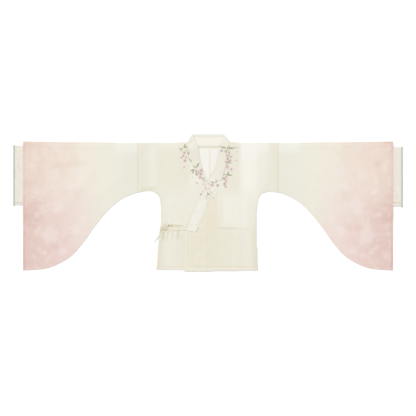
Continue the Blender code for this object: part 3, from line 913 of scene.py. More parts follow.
@dataclass(frozen=True)
class RibbonSatin:
    """Narrow silk ribbon: ribs run across it, and its woven edges are a shade deeper."""

    name: str
    ground: str
    edge: str
    on_body: str | None = None

    def make(self) -> Material:
        """Builds a tie's material, across the ribbon from one edge (0) to the other (1).

        Returns:
            The material.
        """
        dye = Dye(self.name, 0.5, 0.2)
        across, along, _ = dye.split(dye.uv)
        ribs = dye.waves(dye.combine(along), 1.0 * MM)
        dye.ground = linear(self.ground)
        dye.lay(self.edge, 0.5, dye.fade(dye.cloudy(0.012, 2.0, 1.5), 0.45, 0.8))
        rim = dye.maths("ADD", dye.fade(across, 0.12, 0.04), dye.fade(across, 0.88, 0.96))
        dye.lay(self.edge, 0.9, rim)
        if self.on_body:
            dye.lay(self.on_body, 0.85, dye.fade(dye.x, -0.252, -0.240))
        return dye.finish(dye.relief(ribs, 0.05 * MM))


@dataclass(frozen=True)
class EmbroideryFloss:
    """Silk floss in satin stitch: threads side by side that shine along their length."""

    name: str
    tones: tuple[tuple[float, str], ...]
    base: str
    threads: float = 26.0

    def make(self) -> Material:
        """Builds a floss whose shade changes from one leaf or petal to the next.

        Returns:
            The material.
        """
        dye = Dye(self.name, 0.4, 0.2)
        long, across, _ = dye.split(dye.uv)
        dye.ground = dye.ramp(dye.written("tone"), self.tones)
        dye.lay(self.base, 0.8, dye.fade(long, 0.42, 0.08))
        aside = dye.maths("ABSOLUTE", dye.maths("SUBTRACT", across, 0.5))
        slant = dye.maths("SUBTRACT", long, dye.times(aside, 0.5))
        strands = dye.waves(dye.combine(slant), 1 / self.threads)
        dye.lay(self.base, 0.25, dye.fade(strands, 0.35, 0.0))
        return dye.finish(dye.relief(strands, 0.12 * MM))


@dataclass(frozen=True)
class SewingThread:
    """Twisted cotton thread: matt, rounded and a shade off the cloth that it holds."""

    name: str
    colour: str
    shade: str

    def make(self) -> Material:
        """Builds a sewing thread's material.

        Returns:
            The material.
        """
        dye = Dye(self.name, 0.6, 0.1)
        twist = dye.waves(dye.place, 0.7 * MM, "DIAGONAL")
        dye.ground = dye.mix(self.colour, self.shade, dye.fade(twist, 0.6, 0.1))
        return dye.finish(dye.relief(twist, 0.05 * MM))


def sweep(rings: Sequence[Sequence[Vector]], loop: bool = False, marks: Sequence[float] = ()) -> Mesh:
    """Joins closed rings that each have as many points.

    Args:
        rings: The rings, in order along the piece.
        loop: Whether the last ring joins the first.
        marks: How strongly each point of a ring takes the seam tint, where it has one.

    Returns:
        A bmesh with a UV map, open at both ends unless it loops.
    """
    around, along = len(rings[0]), len(rings) - (0 if loop else 1)
    bm = bmesh.new()
    bm.loops.layers.uv.new("UVMap")
    seam = bm.verts.layers.float.new("seam")
    bmesh.ops.create_grid(bm, x_segments=around, y_segments=along, size=1.0, calc_uvs=True)
    for vert in bm.verts:
        u = round((vert.co.x + 1) / 2 * around) % around
        w = round((vert.co.y + 1) / 2 * along) % len(rings)
        vert.co = rings[w][u]
        vert[seam] = marks[u] if marks else 0.0
    bmesh.ops.remove_doubles(bm, verts=bm.verts, dist=1e-7)
    return bm


def close_ends(bm: Mesh) -> None:
    """Closes a sweep's two ends with sharp rims and turns its faces outwards.

    Args:
        bm: The sweep's mesh.
    """
    rims = [e for e in bm.edges if e.is_boundary]
    bmesh.ops.holes_fill(bm, edges=rims, sides=0)
    for edge in rims:
        edge.smooth = False
    bmesh.ops.recalc_face_normals(bm, faces=bm.faces)


def face_up(bm: Mesh) -> None:
    """Turns an open sheet or tube so that its highest faces look up.

    Args:
        bm: The mesh of the sheet or tube.
    """
    bm.normal_update()
    top = max(bm.faces, key=lambda f: f.calc_center_median().z)
    if top.normal.z < 0:
        bmesh.ops.reverse_faces(bm, faces=bm.faces[:])


def stretch_uv(bm: Mesh, length: float) -> None:
    """Turns a swept strip's map into the share across it and the metres along it.

    Args:
        bm: The strip's mesh.
        length: The strip's length in metres.
    """
    uv = bm.loops.layers.uv.active
    for face in bm.faces:
        for corner in face.loops:
            around, along = corner[uv].uv
            corner[uv].uv = ((1 - math.cos(math.tau * around)) / 2, along * length)


def join(parts: Sequence[Mesh]) -> Mesh:
    """One mesh of several, which are freed.

    Args:
        parts: The meshes.

    Returns:
        The joined mesh.
    """
    whole = bmesh.new()
    for part in parts:
        mesh = bpy.data.meshes.new("part")
        part.to_mesh(mesh)
        part.free()
        whole.from_mesh(mesh)
        bpy.data.meshes.remove(mesh)
    return whole


def make_piece(name: str, bm: Mesh, material: Material, wall: float = 0.0) -> Piece:
    """Makes a piece of the jacket from its mesh.

    Args:
        name: The piece's name.
        bm: Its mesh, which is freed.
        material: Its finish.
        wall: The thickness that it is given inwards, or 0 where the mesh is closed.

    Returns:
        The object, riding on the jacket.
    """
    for edge in bm.edges:
        edge.smooth = not edge.is_boundary and edge.smooth
    for face in bm.faces:
        face.smooth = True
    mesh = bpy.data.meshes.new(name)
    bm.to_mesh(mesh)
    bm.free()
    mesh.materials.append(material)
    piece = bpy.data.objects.new(name, mesh)
    bpy.context.scene.collection.objects.link(piece)
    if wall:
        shell = piece.modifiers.new("wall", "SOLIDIFY")
        shell.thickness = wall
        shell.offset = -1
        shell.use_even_offset = True
    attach(piece, "root")
    LOG.info("%s: %d faces", name, len(mesh.polygons))
    return piece


def stand_for(piece: Piece, *nodes: str) -> None:
    """Puts a piece in the place of its solids by hiding them."""
    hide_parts(*nodes)


@dataclass
class Cut:
    """A flat cut of cloth: its outline, the lines it can bend on, and how it is laid."""

    outline: list[Point]
    across: list[float]
    along: list[float]
    place: Callable[[float, float], Vector]
    tints: Callable[[float, float], Point] | None = None

    def area(self) -> float:
        """The cut's flat area in square metres."""
        pairs = zip(self.outline, self.outline[1:] + self.outline[:1])
        return abs(sum(a[0] * b[1] - b[0] * a[1] for a, b in pairs)) / 2

    def size(self) -> Point:
        """The width and length of the cloth it is cut from."""
        xs, ss = [p[0] for p in self.outline], [p[1] for p in self.outline]
        return max(xs) - min(xs), max(ss) - min(ss)

    def lay(self, node: str, material: Material) -> Piece:
        """Args:
            node: The solid that it stands for.
            material: Its finish.

        Returns:
            The laid piece.
        """
        bm = bmesh.new()
        bm.faces.new([bm.verts.new((x, s, 0)) for x, s in self.outline])
        lines = [((x, 0, 0), (1, 0, 0)) for x in self.across]
        lines += [((0, s, 0), (0, 1, 0)) for s in self.along]
        for point, normal in lines:
            geom = bm.verts[:] + bm.edges[:] + bm.faces[:]
            bmesh.ops.bisect_plane(bm, geom=geom, plane_co=point, plane_no=normal, dist=1e-5)
        seam, fold_shade = bm.verts.layers.float.new("seam"), bm.verts.layers.float.new("fold_shade")
        for vert in bm.verts:
            vert.co = self.place(vert.co.x, vert.co.y)
            # The front's points carry the seam tint and the painted fold shade
            if self.tints and vert.co.z > FOLD_R:
                vert[seam], vert[fold_shade] = self.tints(vert.co.x, SHOULDER_Y - vert.co.y)
        face_up(bm)
        piece = make_piece(f"{node}_cloth", bm, material, WALL)
        self.area()
        stand_for(piece, node)
        return piece


def over_fold(rise: Callable[[float, float], float]) -> Callable[[float, float], Vector]:
    """Lays a cut over the shoulder fold.

    Args:
        rise: How far the front lies above its base at x and d.

    Returns:
        The place of a point x, s of the cut, where s is above 0 on the front and below 0 on the back.
    """
    arc = FOLD_R * math.pi / 2

    def place(x: float, s: float) -> Vector:
        """The point on the folded cloth.

        Args:
            x: Across.
            s: Its length over the fold, below 0 on the back.

        Returns:
            The laid point.
        """
        if abs(s) < arc:
            turn = s / FOLD_R
            d, z = FOLD_R * (1 - math.cos(turn)), FOLD_R * (1 + math.sin(turn))
            return laid(x, d + dip(abs(x), 0.0), z)
        d = abs(s) - arc + FOLD_R
        return laid(x, d + dip(abs(x), d), 0.0 if s < 0 else 2 * FOLD_R + rise(x, d))

    return place


def over_length(points: Sequence[Row], back: bool = False) -> list[Point]:
    """Distances down the cloth as lengths over the fold, below 0 on the back."""
    extra = FOLD_R * (math.pi / 2 - 1)
    return [(x, (-1 if back else 1) * (d + extra if d > FOLD_R else d)) for x, d in points]


def at_centre(a: Point, b: Point) -> Point:
    """Where the line between two points crosses the centre front."""
    t = a[0] / (a[0] - b[0])
    return (0.0, a[1] + t * (b[1] - a[1]))


def neckline(rows: Sequence[Row], side: Side) -> list[Point]:
    """The front edge that goes into the collar's seam, from the shoulder down."""
    sewn = [(r[2], r[3]) for r in metres(curve(rows, 2))]
    return offset(sewn, -side.value * TUCK)[1:]


@dataclass
class BodyHalf:
    """One body half, front and back in one cloth, folded at the shoulder."""

    side: Side
    grid: float = 7 * MM
    fine: float = 2.6 * MM
    hem: float = field(init=False)
    creases: list[Crease] = field(init=False)
    fold_shade: list[Crease] = field(init=False)
    edge: list[Row] = field(init=False)

    def __post_init__(self) -> None:
        """Takes the hem's level, the creases and the sewn edge of the side."""
        right = self.side is Side.RIGHT
        self.hem = (654 if right else 659) * MM
        self.creases = GATHERS + FRONT_CREASES_RIGHT if right else WAIST_CREASES + FRONT_CREASES_LEFT
        self.fold_shade = FOLD_SHADE_RIGHT if right else FOLD_SHADE_LEFT
        under, sides = (UNDERARM_RIGHT, SIDE_RIGHT) if right else (UNDERARM_LEFT, SIDE_LEFT)
        self.edge = metres(curve(under, 3) + curve(under[-1:] + sides, 3)[1:])

    def rise(self, x: float, d: float) -> float:
        """How far the front lies above its base at a point.

        Args:
            x: Across.
            d: Down from the shoulder line.

        Returns:
            The lift.
        """
        out = abs(x)
        clear = smooth(4 * MM, 20 * MM, d)
        high = sum(crease.rise(x, d) for crease in self.creases)
        high += sum(crease.rise(out, d) for crease in UNDERARM_CREASES)
        high += RIPPLE * (0.5 + 0.5 * ripple(x, d, 45 * MM, self.side.value * 3.1))
        high += raised(ARMHOLE - SEAM_STRIP, ARMHOLE, out)
        high += raised(HEM_LINE, BOTTOM, d)
        if self.side is Side.LEFT:
            high += raised(3 * MM, 41 * MM, x) * smooth(0.27, 0.30, d)
        high *= clear
        high -= furrow(ARMHOLE - out) * clear
        high -= DROOP * smooth(self.hem - 16 * MM, self.hem, d) * (0.7 + 0.5 * ripple(x, 0.0, 60 * MM, 7.7))
        if self.side is Side.LEFT:
            high += OVER_COLLAR * smooth(0.16, 0.21, d) * (1 - smooth(0.145, 0.185, x))
            high -= furrow(x) * smooth(0.26, 0.28, d)
        return high

    def tints(self, x: float, d: float) -> Point:
        """How deep the side seam's tint and the painted shade of the gathers' folds are at a point.

        Args:
            x: Across.
            d: Down from the shoulder line.

        Returns:
            The seam's tint and the painted fold shade.
        """
        far = min(self.distance(abs(x), d, a, b) for a, b in zip(self.edge, self.edge[1:]))
        reach = (34 if self.side is Side.RIGHT else 38) * MM
        low = smooth(0.40, 0.47, d)
        near, wide = 1 - smooth(3 * MM, 10 * MM, far), 1 - smooth(6 * MM, reach, far)
        seam = max(0.8 * near, 1.3 * low * wide)
        return seam, min(1.0, sum(crease.rise(x, d) for crease in self.fold_shade) / MM)

    @staticmethod
    def distance(x: float, d: float, a: Row, b: Row) -> float:
        """The distance of a point from the span between two others.

        Args:
            x: Across.
            d: Down from the shoulder line.
            a: One end of the span.
            b: Its other end.

        Returns:
            The distance.
        """
        lx, ld = b[0] - a[0], b[1] - a[1]
        t = max(0.0, min(1.0, ((x - a[0]) * lx + (d - a[1]) * ld) / (lx * lx + ld * ld)))
        return math.hypot(x - a[0] - t * lx, d - a[1] - t * ld)

    def outline(self) -> list[Point]:
        """The cut's outline, from the neck down the front, round the side and up the back.

        Returns:
            Points of x and length over the fold.
        """
        side = self.side.value
        right = self.side is Side.RIGHT
        start = ((-102.4 if right else 113.2) * MM, 0.0)
        neck = neckline(COLLAR_RIGHT if right else COLLAR_LEFT, self.side)
        kept = [p for p in neck if side * p[0] > 1 * MM]
        cross = at_centre(kept[-1], neck[len(kept)])
        sewn = [(side * x, d) for x, d in self.edge]
        count = 3 * (len(UNDERARM_RIGHT if right else UNDERARM_LEFT) - 1) + 1
        under, sides = [(side * ARMHOLE, sewn[0][1])] + sewn[1:count], sewn[count:]
        sag = [(0.0, BOTTOM), (4 * MM, BOTTOM - 1 * MM), (20 * MM, self.hem + 1 * MM), (40 * MM, self.hem)]
        hem = [(0.0, self.hem + 3 * MM)] if right else sag
        front = [start] + kept + [cross] + hem + sides[::-1] + under[::-1]
        back = under + [(x, min(d, BACK_HEM)) for x, d in sides]
        back += [(CENTRE_BACK, BACK_HEM), (CENTRE_BACK, 23.6 * MM)] + self.back_neck()
        return over_length(front) + [(side * ARMHOLE, 0.0)] + over_length(back, back=True)

    def back_neck(self) -> list[Point]:
        """The back neck edge from the centre out to the shoulder.

        Returns:
            The edge's points.
        """
        side = self.side.value
        rows = [COLLAR_RIGHT[0]] + COLLAR_BACK + [COLLAR_LEFT[0]]
        sewn = [(r[2], r[3]) for r in metres(curve(rows, 2))]
        half = [p for p in offset(sewn, TUCK)[1:-1] if side * (p[0] - CENTRE_BACK) > 4 * MM]
        return sorted(half, key=lambda p: side * p[0])

    def build(self, material: Material) -> Piece:
        """Cuts and lays the half.

        Args:
            material: Its finish.

        Returns:
            The laid half.
        """
        side = self.side.value
        arc = FOLD_R * math.pi / 2
        across = steps(self.grid, 340 * MM, self.grid)
        across += [ARMHOLE - n * MM for n in (25.5, 24, 1.2, 2.5, 4)]
        across += steps(236 * MM, 268 * MM, 3.2 * MM)
        along = [arc * i / 4 for i in range(-4, 5)] + steps(10 * MM, 650 * MM, self.grid)
        along += [HEM_LINE - STEP, HEM_LINE] + [self.hem - n * MM for n in (12, 8, 4, 1)]
        along += [-24 * MM, -100 * MM, -262 * MM, -330 * MM, -490 * MM]
        if self.side is Side.RIGHT:
            across += steps(131 * MM, 246 * MM, self.fine)
            along += steps(395 * MM, 420 * MM, 4 * MM) + steps(422 * MM, 462 * MM, self.fine)
            along += steps(466 * MM, 486 * MM, 4 * MM)
        else:
            across += [n * MM for n in (1.2, 2.5, 4, 39.5, 41, 42.5)]
            along += steps(422 * MM, 460 * MM, self.fine)
        across = sorted(side * x for x in set(across))
        cut = Cut(self.outline(), across, sorted(along), over_fold(self.rise), self.tints)
        return cut.lay(f"body_{self.side.word}", material)


@dataclass
class Lapel:
    """A front lapel sewn to the centre front: the outer one on the left half, the inner on the right."""

    side: Side
    grid: float = 6 * MM

    def rise(self, x: float, d: float) -> float:
        """How far the lapel lies above its base at a point.

        Args:
            x: Across.
            d: Down from the shoulder line.

        Returns:
            The lift.
        """
        if self.side is Side.RIGHT:
            return 0.0
        high = LAYER + (OVER_COLLAR - LAYER) * smooth(-40 * MM, 0.0, x)
        high += sum(crease.rise(x, d) for crease in LAPEL_CREASES)
        high += RIPPLE * (0.5 + 0.5 * ripple(x, d, 45 * MM, 3.1))
        high += raised(-LAPEL, -LAPEL + 12 * MM, x)
        high += raised(HEM_LINE, BOTTOM, d)
        high -= DROOP * smooth(-LAPEL + 14 * MM, -LAPEL, x) * (0.7 + 0.5 * ripple(0.0, d, 50 * MM, 2.2))
        high -= DROOP * smooth(BOTTOM - 16 * MM, BOTTOM, d) * (0.6 + 0.5 * ripple(x, 0.0, 60 * MM, 7.7))
        return high - furrow(x)

    def build(self, material: Material) -> Piece:
        """Cuts and lays the lapel.

        Args:
            material: Its finish.

        Returns:
            The laid lapel.
        """
        side = self.side.value
        left = self.side is Side.LEFT
        line = neckline(COLLAR_LEFT if left else COLLAR_RIGHT, self.side)
        kept = [p for p in line if side * p[0] < -2 * MM]
        before = [p for p in line if side * p[0] >= -2 * MM][-1]
        edge = [at_centre(before, kept[0])] + kept
        if left:
            corner = metres([(-60, 459.5), (-111, 454.0), (-121, 455.5), (-121, 663), (0, 663)])
        else:
            corner = metres([(64.0, 457.8), (110.1, 455.4), (121, 456.4), (121, 652), (0, 652)])
        across = steps(self.grid, LAPEL - self.grid, self.grid) + [1.2 * MM, 2.5 * MM, 4 * MM]
        across += [LAPEL - n * MM for n in (13.5, 12, 8, 4, 1.5)]
        across = sorted(-side * x for x in across)
        along = steps(0.27, 0.65, self.grid) + [HEM_LINE - STEP, HEM_LINE]
        along += [BOTTOM - n * MM for n in (12, 8, 4, 1)]

        def place(x: float, s: float) -> Vector:
            """The point on the laid lapel."""
            return laid(x, s, LAYER + SOLID_WALL + self.rise(x, s))

        cut = Cut(edge[:-1] + corner, across, along, place)
        return cut.lay("outer_lapel" if left else "inner_lapel", material)


@dataclass
class FlatTube:
    """A tube pressed flat, with its fold at the top and its seam or fold below."""

    top: float
    lower: Sequence[float]
    upper: Sequence[float]

    def ring(self, x: float, low: float, slope: float, base: float, radius: float, reach: float,
             rise: Callable[[float, float], float]) -> list[Vector]:
        """One ring round the tube.

        Args:
            x: Where the ring lies along the arm.
            low: The lower edge's drop there.
            slope: How steeply that edge runs there.
            base: The height of the tube's underside.
            radius: The radius of the ring at its folds.
            reach: The radius of the outer face at its folds.
            rise: How far the upper layer lies above its base at x and d.

        Returns:
            The ring's points: the lower layer, the lower fold, the upper layer and the top fold.
        """
        lean = math.sqrt(1 + slope * slope)
        mid_top, mid_low = self.top + reach, low - reach * lean
        centre = base + reach
        turn = [math.pi * i / 4 for i in (1, 2, 3)]
        ring = [laid(x, mid_top + (mid_low - mid_top) * t, centre - radius) for t in self.lower]
        wide = radius * lean
        ring += [laid(x, mid_low + wide * math.sin(a), centre - radius * math.cos(a)) for a in turn]
        for t in self.upper:
            d = mid_top + (mid_low - mid_top) * t
            ring.append(laid(x, d, centre + radius + rise(x, d)))
        ring += [laid(x, mid_top - radius * math.sin(a), centre + radius * math.cos(a)) for a in turn]
        return ring


@dataclass
class Sleeve:
    """A pipa sleeve, front and back in one, folded along the shoulder line and sewn along its curve."""

    side: Side
    grid: float = 7 * MM
    cuff_top: float = field(init=False)
    cuff_low: float = field(init=False)
    creases: list[Crease] = field(init=False)
    edge: list[Row] = field(init=False)

    def __post_init__(self) -> None:
        """Takes the cuff's place, the creases of the side and the smooth lower edge."""
        self.cuff_top, self.cuff_low = metres([CUFF_EDGES[self.side]])[0]
        fine = SLEEVE_FINE_RIGHT if self.side is Side.RIGHT else SLEEVE_FINE_LEFT
        self.creases = SLEEVE_CREASES + fine
        self.edge = metres(curve(SLEEVE_EDGE, 6))

    def drop(self, x: float) -> Point:
        """The lower edge's drop at a distance from the centre, and its slope.

        Args:
            x: The distance from the centre.

        Returns:
            The drop, and how steeply the edge runs.
        """
        for (x0, d0), (x1, d1) in zip(self.edge, self.edge[1:]):
            if x <= x1:
                slope = (d1 - d0) / (x1 - x0)
                return d0 + slope * (x - x0), slope
        return self.edge[-1][1], 0.0

    def rise(self, x: float, d: float) -> float:
        """How far the upper layer lies above its base at a point.

        Args:
            x: Across.
            d: Down from the shoulder line.

        Returns:
            The lift.
        """
        out = abs(x)
        low = self.drop(out)[0]
        clear = smooth(2 * MM, 16 * MM, d) * (1 - smooth(low - 30 * MM, low - 6 * MM, d))
        inside = smooth(MOUTH - 115 * MM, MOUTH - 68 * MM, out)
        inside *= smooth(3 * MM, self.cuff_top - 3 * MM, d)
        inside *= 1 - smooth(self.cuff_low + 30 * MM, self.cuff_low + 90 * MM, d)
        high = sum(crease.rise(out, d) for crease in self.creases)
        high += RIPPLE * (0.6 + 0.6 * ripple(out, d, 55 * MM, self.side.value * 5.3))
        high += 0.5 * RIPPLE * ripple(out, d, 20 * MM, self.side.value * 9.1)
        high += ALLOWANCE * smooth(MOUTH - MOUTH_HEM - STEP, MOUTH - MOUTH_HEM, out)
        high -= furrow(out - ARMHOLE)
        droop = smooth(MOUTH - 14 * MM, MOUTH, out)
        droop *= 0.5 + 0.8 * ripple(0.0, d, 70 * MM, self.side.value * 1.7)
        return 2 * LAYER * inside + clear * (high - DROOP * droop)

    def build(self, material: Material) -> Piece:
        """Folds and lays the sleeve.

        Args:
            material: Its finish.

        Returns:
            The laid sleeve.
        """
        side = self.side.value
        out = [ARMHOLE + n * MM for n in (0, 1.2, 2.5, 4, 8)]
        out += steps(ARMHOLE + 14 * MM, MOUTH - 16 * MM, self.grid)
        out += [MOUTH - n * MM for n in (12, MOUTH_HEM / MM + 1.5, MOUTH_HEM / MM, 4, 1.5, 0)]
        near = steps(3 * MM, 45 * MM, 2.8 * MM)
        edge = [n * MM for n in (22, 15, 10, 7.5, 5, 2.5)]
        # The lower fold takes the seam tint, which out on the sleeve is painted light
        marks = [1.0, 0.0, 0.0, 0.0, 1.0] + [1.0] * 3
        rings = []
        for x in out:
            low, slope = self.drop(x)
            long = low - 2 * FOLD_R
            middle = steps(52 * MM / long, 1 - 30 * MM / long, (1 - 82 * MM / long) / 64)
            upper = [0.0] + [n / long for n in near] + middle + [1 - n / long for n in edge] + [1.0]
            tube = FlatTube(0.0, [0.0, 0.06, 0.5, 0.95, 1.0], upper[::-1])
            rings.append(tube.ring(side * x, low, slope, 0.0, FOLD_R, FOLD_R, self.rise))
        marks += [1.0, 1.0, 0.8, 0.4, 0.1] + [0.0] * (len(rings[0]) - 16) + [0.0] * 3
        bm = sweep(rings, marks=marks)
        painted = bm.verts.layers.float.new("bloom")
        for vert in bm.verts:
            far, d = abs(vert.co.x), SHOULDER_Y - vert.co.y
            vert[painted] = bloom(far, d)
            vert.co.y -= dip(far, d)
        face_up(bm)
        piece = make_piece(f"sleeve_{self.side.word}_cloth", bm, material, WALL)
        stand_for(piece, f"sleeve_{self.side.word}")
        return piece


@dataclass
class Cuff:
    """The straight inner cuff that comes out of the sleeve's mouth, with its bound end."""

    side: Side
    top: float = field(init=False)
    low: float = field(init=False)
    thick: float = 1.6 * MM

    def __post_init__(self) -> None:
        """Takes the cuff's two edges."""
        self.top, self.low = metres([CUFF_EDGES[self.side]])[0]

    def rise(self, x: float, d: float) -> float:
        """How far the upper layer lies above its base at a point.

        Args:
            x: Across.
            d: Down from the shoulder line.

        Returns:
            The lift.
        """
        clear = smooth(self.top + 3 * MM, self.top + 15 * MM, d)
        clear *= 1 - smooth(self.low - 15 * MM, self.low - 3 * MM, d)
        shown = smooth(MOUTH + 2 * MM, MOUTH + 12 * MM, abs(x))
        return clear * shown * RIPPLE * (0.5 + 0.8 * ripple(x, d, 26 * MM, self.side.value * 4.4))

    def build(self, cloth: Material, satin: Material) -> list[Piece]:
        """Folds and lays the cuff and wraps the binding round its end.

        Args:
            cloth: The cuff's finish.
            satin: The binding's finish.

        Returns:
            The cuff and its binding.
        """
        side, word = self.side.value, self.side.word
        end = REACH - BINDING + 1.5 * MM
        tube = FlatTube(self.top, [0.0, 0.04, 0.35, 0.68, 0.96, 1.0], steps(1.0, 0.0, 0.02))
        out = steps(MOUTH - CUFF_INSIDE, MOUTH - 10 * MM, 25 * MM)
        out += steps(MOUTH, MOUTH + 20 * MM, 2 * MM) + steps(MOUTH + 24 * MM, end, 4 * MM)
        rings = []
        for x in out:
            base = LAYER * (1 - smooth(MOUTH + 2 * MM, MOUTH + 18 * MM, x))
            rings.append(tube.ring(side * x, self.low, 0.0, base, FOLD_R, FOLD_R, self.rise))
        bm = sweep(rings)
        face_up(bm)
        cuff = make_piece(f"cuff_{word}_cloth", bm, cloth, WALL)
        stand_for(cuff, f"cuff_{word}")

        wrap = FlatTube(self.top - 2.5 * MM, tube.lower, tube.upper)
        reach = self.thick + SEAM_GAP / 2
        middle = REACH - BINDING / 2
        rings = []
        for i in range(14):
            a = math.tau * i / 14
            bulge = abs(math.cos(a)) ** 0.6 * math.copysign(1.0, math.cos(a))
            round_off = abs(math.sin(a)) ** 0.8 * math.copysign(1.0, math.sin(a))
            radius = reach - self.thick / 2 + self.thick / 2 * round_off
            x = side * (middle + BINDING / 2 * bulge)
            rings.append(wrap.ring(x, self.low + 4 * MM, 0.0, 0.0, radius, reach, lambda x, d: 0.0))
        bm = sweep(rings, loop=True)
        bmesh.ops.recalc_face_normals(bm, faces=bm.faces)
        binding = make_piece(f"cuff_{word}_binding", bm, satin)
        stand_for(binding, f"cuff_binding_{word}")
        return [cuff, binding]


def strip_ring(sewn: Vector, free: Vector, thick: float, up: Vector, parts: int = 9,
               edge: float = 5.0) -> list[Vector]:
    """A ring across a strip with soft edges.

    Args:
        sewn: The strip's first edge.
        free: Its other edge.
        thick: Its thickness at the middle.
        up: The way the second half of the ring lies.
        parts: How many steps each face is cut into.
        edge: How full the edges are; a low number has them pressed thin.

    Returns:
        The ring's points, from the first edge out along one face and back along the other.
    """
    ring = []
    for i in range(2 * parts):
        t = (1 - math.cos(math.pi * i / parts)) / 2
        half = thick / 2 * (1 - abs(2 * t - 1) ** edge) ** 0.5
        ring.append(sewn.lerp(free, t) + up * (half if i > parts else -half))
    return ring


@dataclass
class Collar:
    """The collar strip, from its inner end over the right shoulder and round the neck to its outer end."""

    parts: int = 5
    width: float = 50 * MM
    edge: float = 2.6
    flutter: float = 0.5 * MM

    def rows(self) -> tuple[list[Row], list[Row], list[Row]]:
        """The collar's stations on the right front, round the back and on the left front.

        Returns:
            The three runs of stations, in metres.
        """
        level = [COLLAR_RIGHT[0][:4] + (0.0,)] + COLLAR_BACK + [COLLAR_LEFT[0][:4] + (0.0,)]
        return (metres(curve(COLLAR_RIGHT, self.parts)), metres(curve(level, self.parts)),
                metres(curve(COLLAR_LEFT, self.parts)))

    def edges(self, row: Row, z: float) -> tuple[Vector, Vector]:
        """The free and the sewn edge of a station at a height, the free one a little uneven.

        Args:
            row: The station.
            z: The height.

        Returns:
            The free edge, then the sewn one.
        """
        sway = 1 + self.flutter / self.width * ripple(row[2], row[3], 40 * MM, 1.3)
        sewn = laid(row[2], row[3], z)
        return sewn.lerp(laid(row[0], row[1], z), sway), sewn

    def turned(self, row: Row, angles: Sequence[float]) -> list[list[Vector]]:
        """The rings over a shoulder fold, from the back to the front.

        Args:
            row: The station at the fold.
            angles: How far over each ring is turned.

        Returns:
            The rings.
        """
        along = Vector((row[2] - row[0], row[1] - row[3], 0)).normalized()
        outward = Vector((-along.y, along.x, 0))
        if outward.x * row[0] < 0:
            outward.negate()
        radius, rings = row[4] / 2, []
        for a in angles:
            free, sewn = self.edges(row, BAND / 2 + radius * (1 - math.cos(a)))
            push = outward * radius * math.sin(a)
            lift = UP * math.cos(a) - outward * math.sin(a)
            rings.append(strip_ring(sewn + push, free + push, BAND, lift, edge=self.edge))
        return rings

    def behind(self, row: Row) -> list[Vector]:
        """A ring round the back of the neck, its sewn edge tucked under the edge of the back panel.

        Args:
            row: The station.

        Returns:
            The ring.
        """
        tucked = 1.3 * MM * (1 - smooth(50 * MM, 72 * MM, abs(row[2])))
        free, sewn = self.edges((*row[:3], row[3] + tucked, row[4]), BAND / 2)
        return strip_ring(sewn, free, BAND, UP, edge=self.edge)

    def front(self, row: Row) -> list[Vector]:
        """A ring on a front: its free edge sinks at the neck, and its sewn edge is pressed further down.

        Args:
            row: The station.

        Returns:
            The ring.
        """
        free, sewn = self.edges(row, row[4] + BAND / 2)
        sink = (row[4] - 0.35 * MM) * smooth(0.022, 0.05, row[1]) * (1 - smooth(0.12, 0.18, row[1]))
        pressed = 0.5 * MM * smooth(0.26, 0.32, row[1])
        ring = strip_ring(sewn, free, BAND, -UP, edge=self.edge)
        for point in ring:
            across = (point.xy - sewn.xy).length / self.width
            point.z -= sink * smooth(0.35, 1.0, across) + pressed * (1 - smooth(0.0, 0.3, across))
        return ring

    def build(self, material: Material) -> Piece:
        """Sews the strip round the neck.

        Args:
            material: Its finish.

        Returns:
            The collar.
        """
        right, back, left = self.rows()
        half = [math.pi * i / 10 for i in range(1, 10)]
        rings = [self.front(row) for row in right[::-1]]
        rings += self.turned(right[0], half[::-1])
        rings += [self.behind(row) for row in back]
        rings += self.turned(left[0], half)
        rings += [self.front(row) for row in left]
        middles = [(ring[0] + ring[len(ring) // 2]) / 2 for ring in rings]
        length = sum((b - a).length for a, b in zip(middles, middles[1:]))
        bm = sweep(rings)
        stretch_uv(bm, length)
        close_ends(bm)
        piece = make_piece("collar_strip", join([bm, self.turned_end()]), material)
        stand_for(piece, "collar")
        return piece

    def turned_end(self) -> Mesh:
        """The strip's outer end, turned back over the tie: its start is hidden in the strip.

        Returns:
            Its closed mesh.
        """
        thick, radius = 0.6 * MM, 0.6 * MM
        before, last = metres(COLLAR_LEFT[-2:])
        ends = [laid(row[0] + row[2], row[1] + row[3], 0) for row in (last, before)]
        out = (ends[0] - ends[1]).normalized()
        level = last[4] + BAND + 0.4 * MM
        rings = []
        for a in (math.pi * i / 4 for i in range(5)):
            free, sewn = self.edges(last, level - radius * (1 + math.cos(a)))
            push, lift = out * radius * math.sin(a), out * math.sin(a) - UP * math.cos(a)
            rings.append(strip_ring(sewn + push, free + push, thick, lift, 12))
        for back in steps(0.03, 0.56, 0.04):
            row = tuple(b + (a - b) * back for a, b in zip(before, last))
            free, sewn = self.edges(row, level)
            ring = strip_ring(sewn, free, thick, UP, 12)
            for point in ring:
                over_tie = plateau(0.441, 0.4525, 3 * MM, SHOULDER_Y - point.y)
                point.z += 1.2 * MM * over_tie * (1 - smooth(-85 * MM, -78 * MM, point.x))
            rings.append(ring)
        bm = sweep(rings)
        stretch_uv(bm, 36 * MM)
        close_ends(bm)
        return bm

    def box(self) -> list[Point]:
        """The corners of the box that is sewn through the turned end.

        Returns:
            The corners, with the first one again at the end.
        """
        before, last = metres(COLLAR_LEFT[-2:])
        corners = []
        for back, t in ((0.1, 0.14), (0.1, 0.86), (0.47, 0.86), (0.47, 0.14), (0.1, 0.14)):
            corners += self.line([tuple(b + (a - b) * back for a, b in zip(before, last))], t)
        return corners

    def line(self, rows: Sequence[Row], t: float) -> list[Point]:
        """A line down the collar at a share of its width from the sewn edge."""
        return [(r[2] + (r[0] - r[2]) * t, r[3] + (r[1] - r[3]) * t) for r in rows]


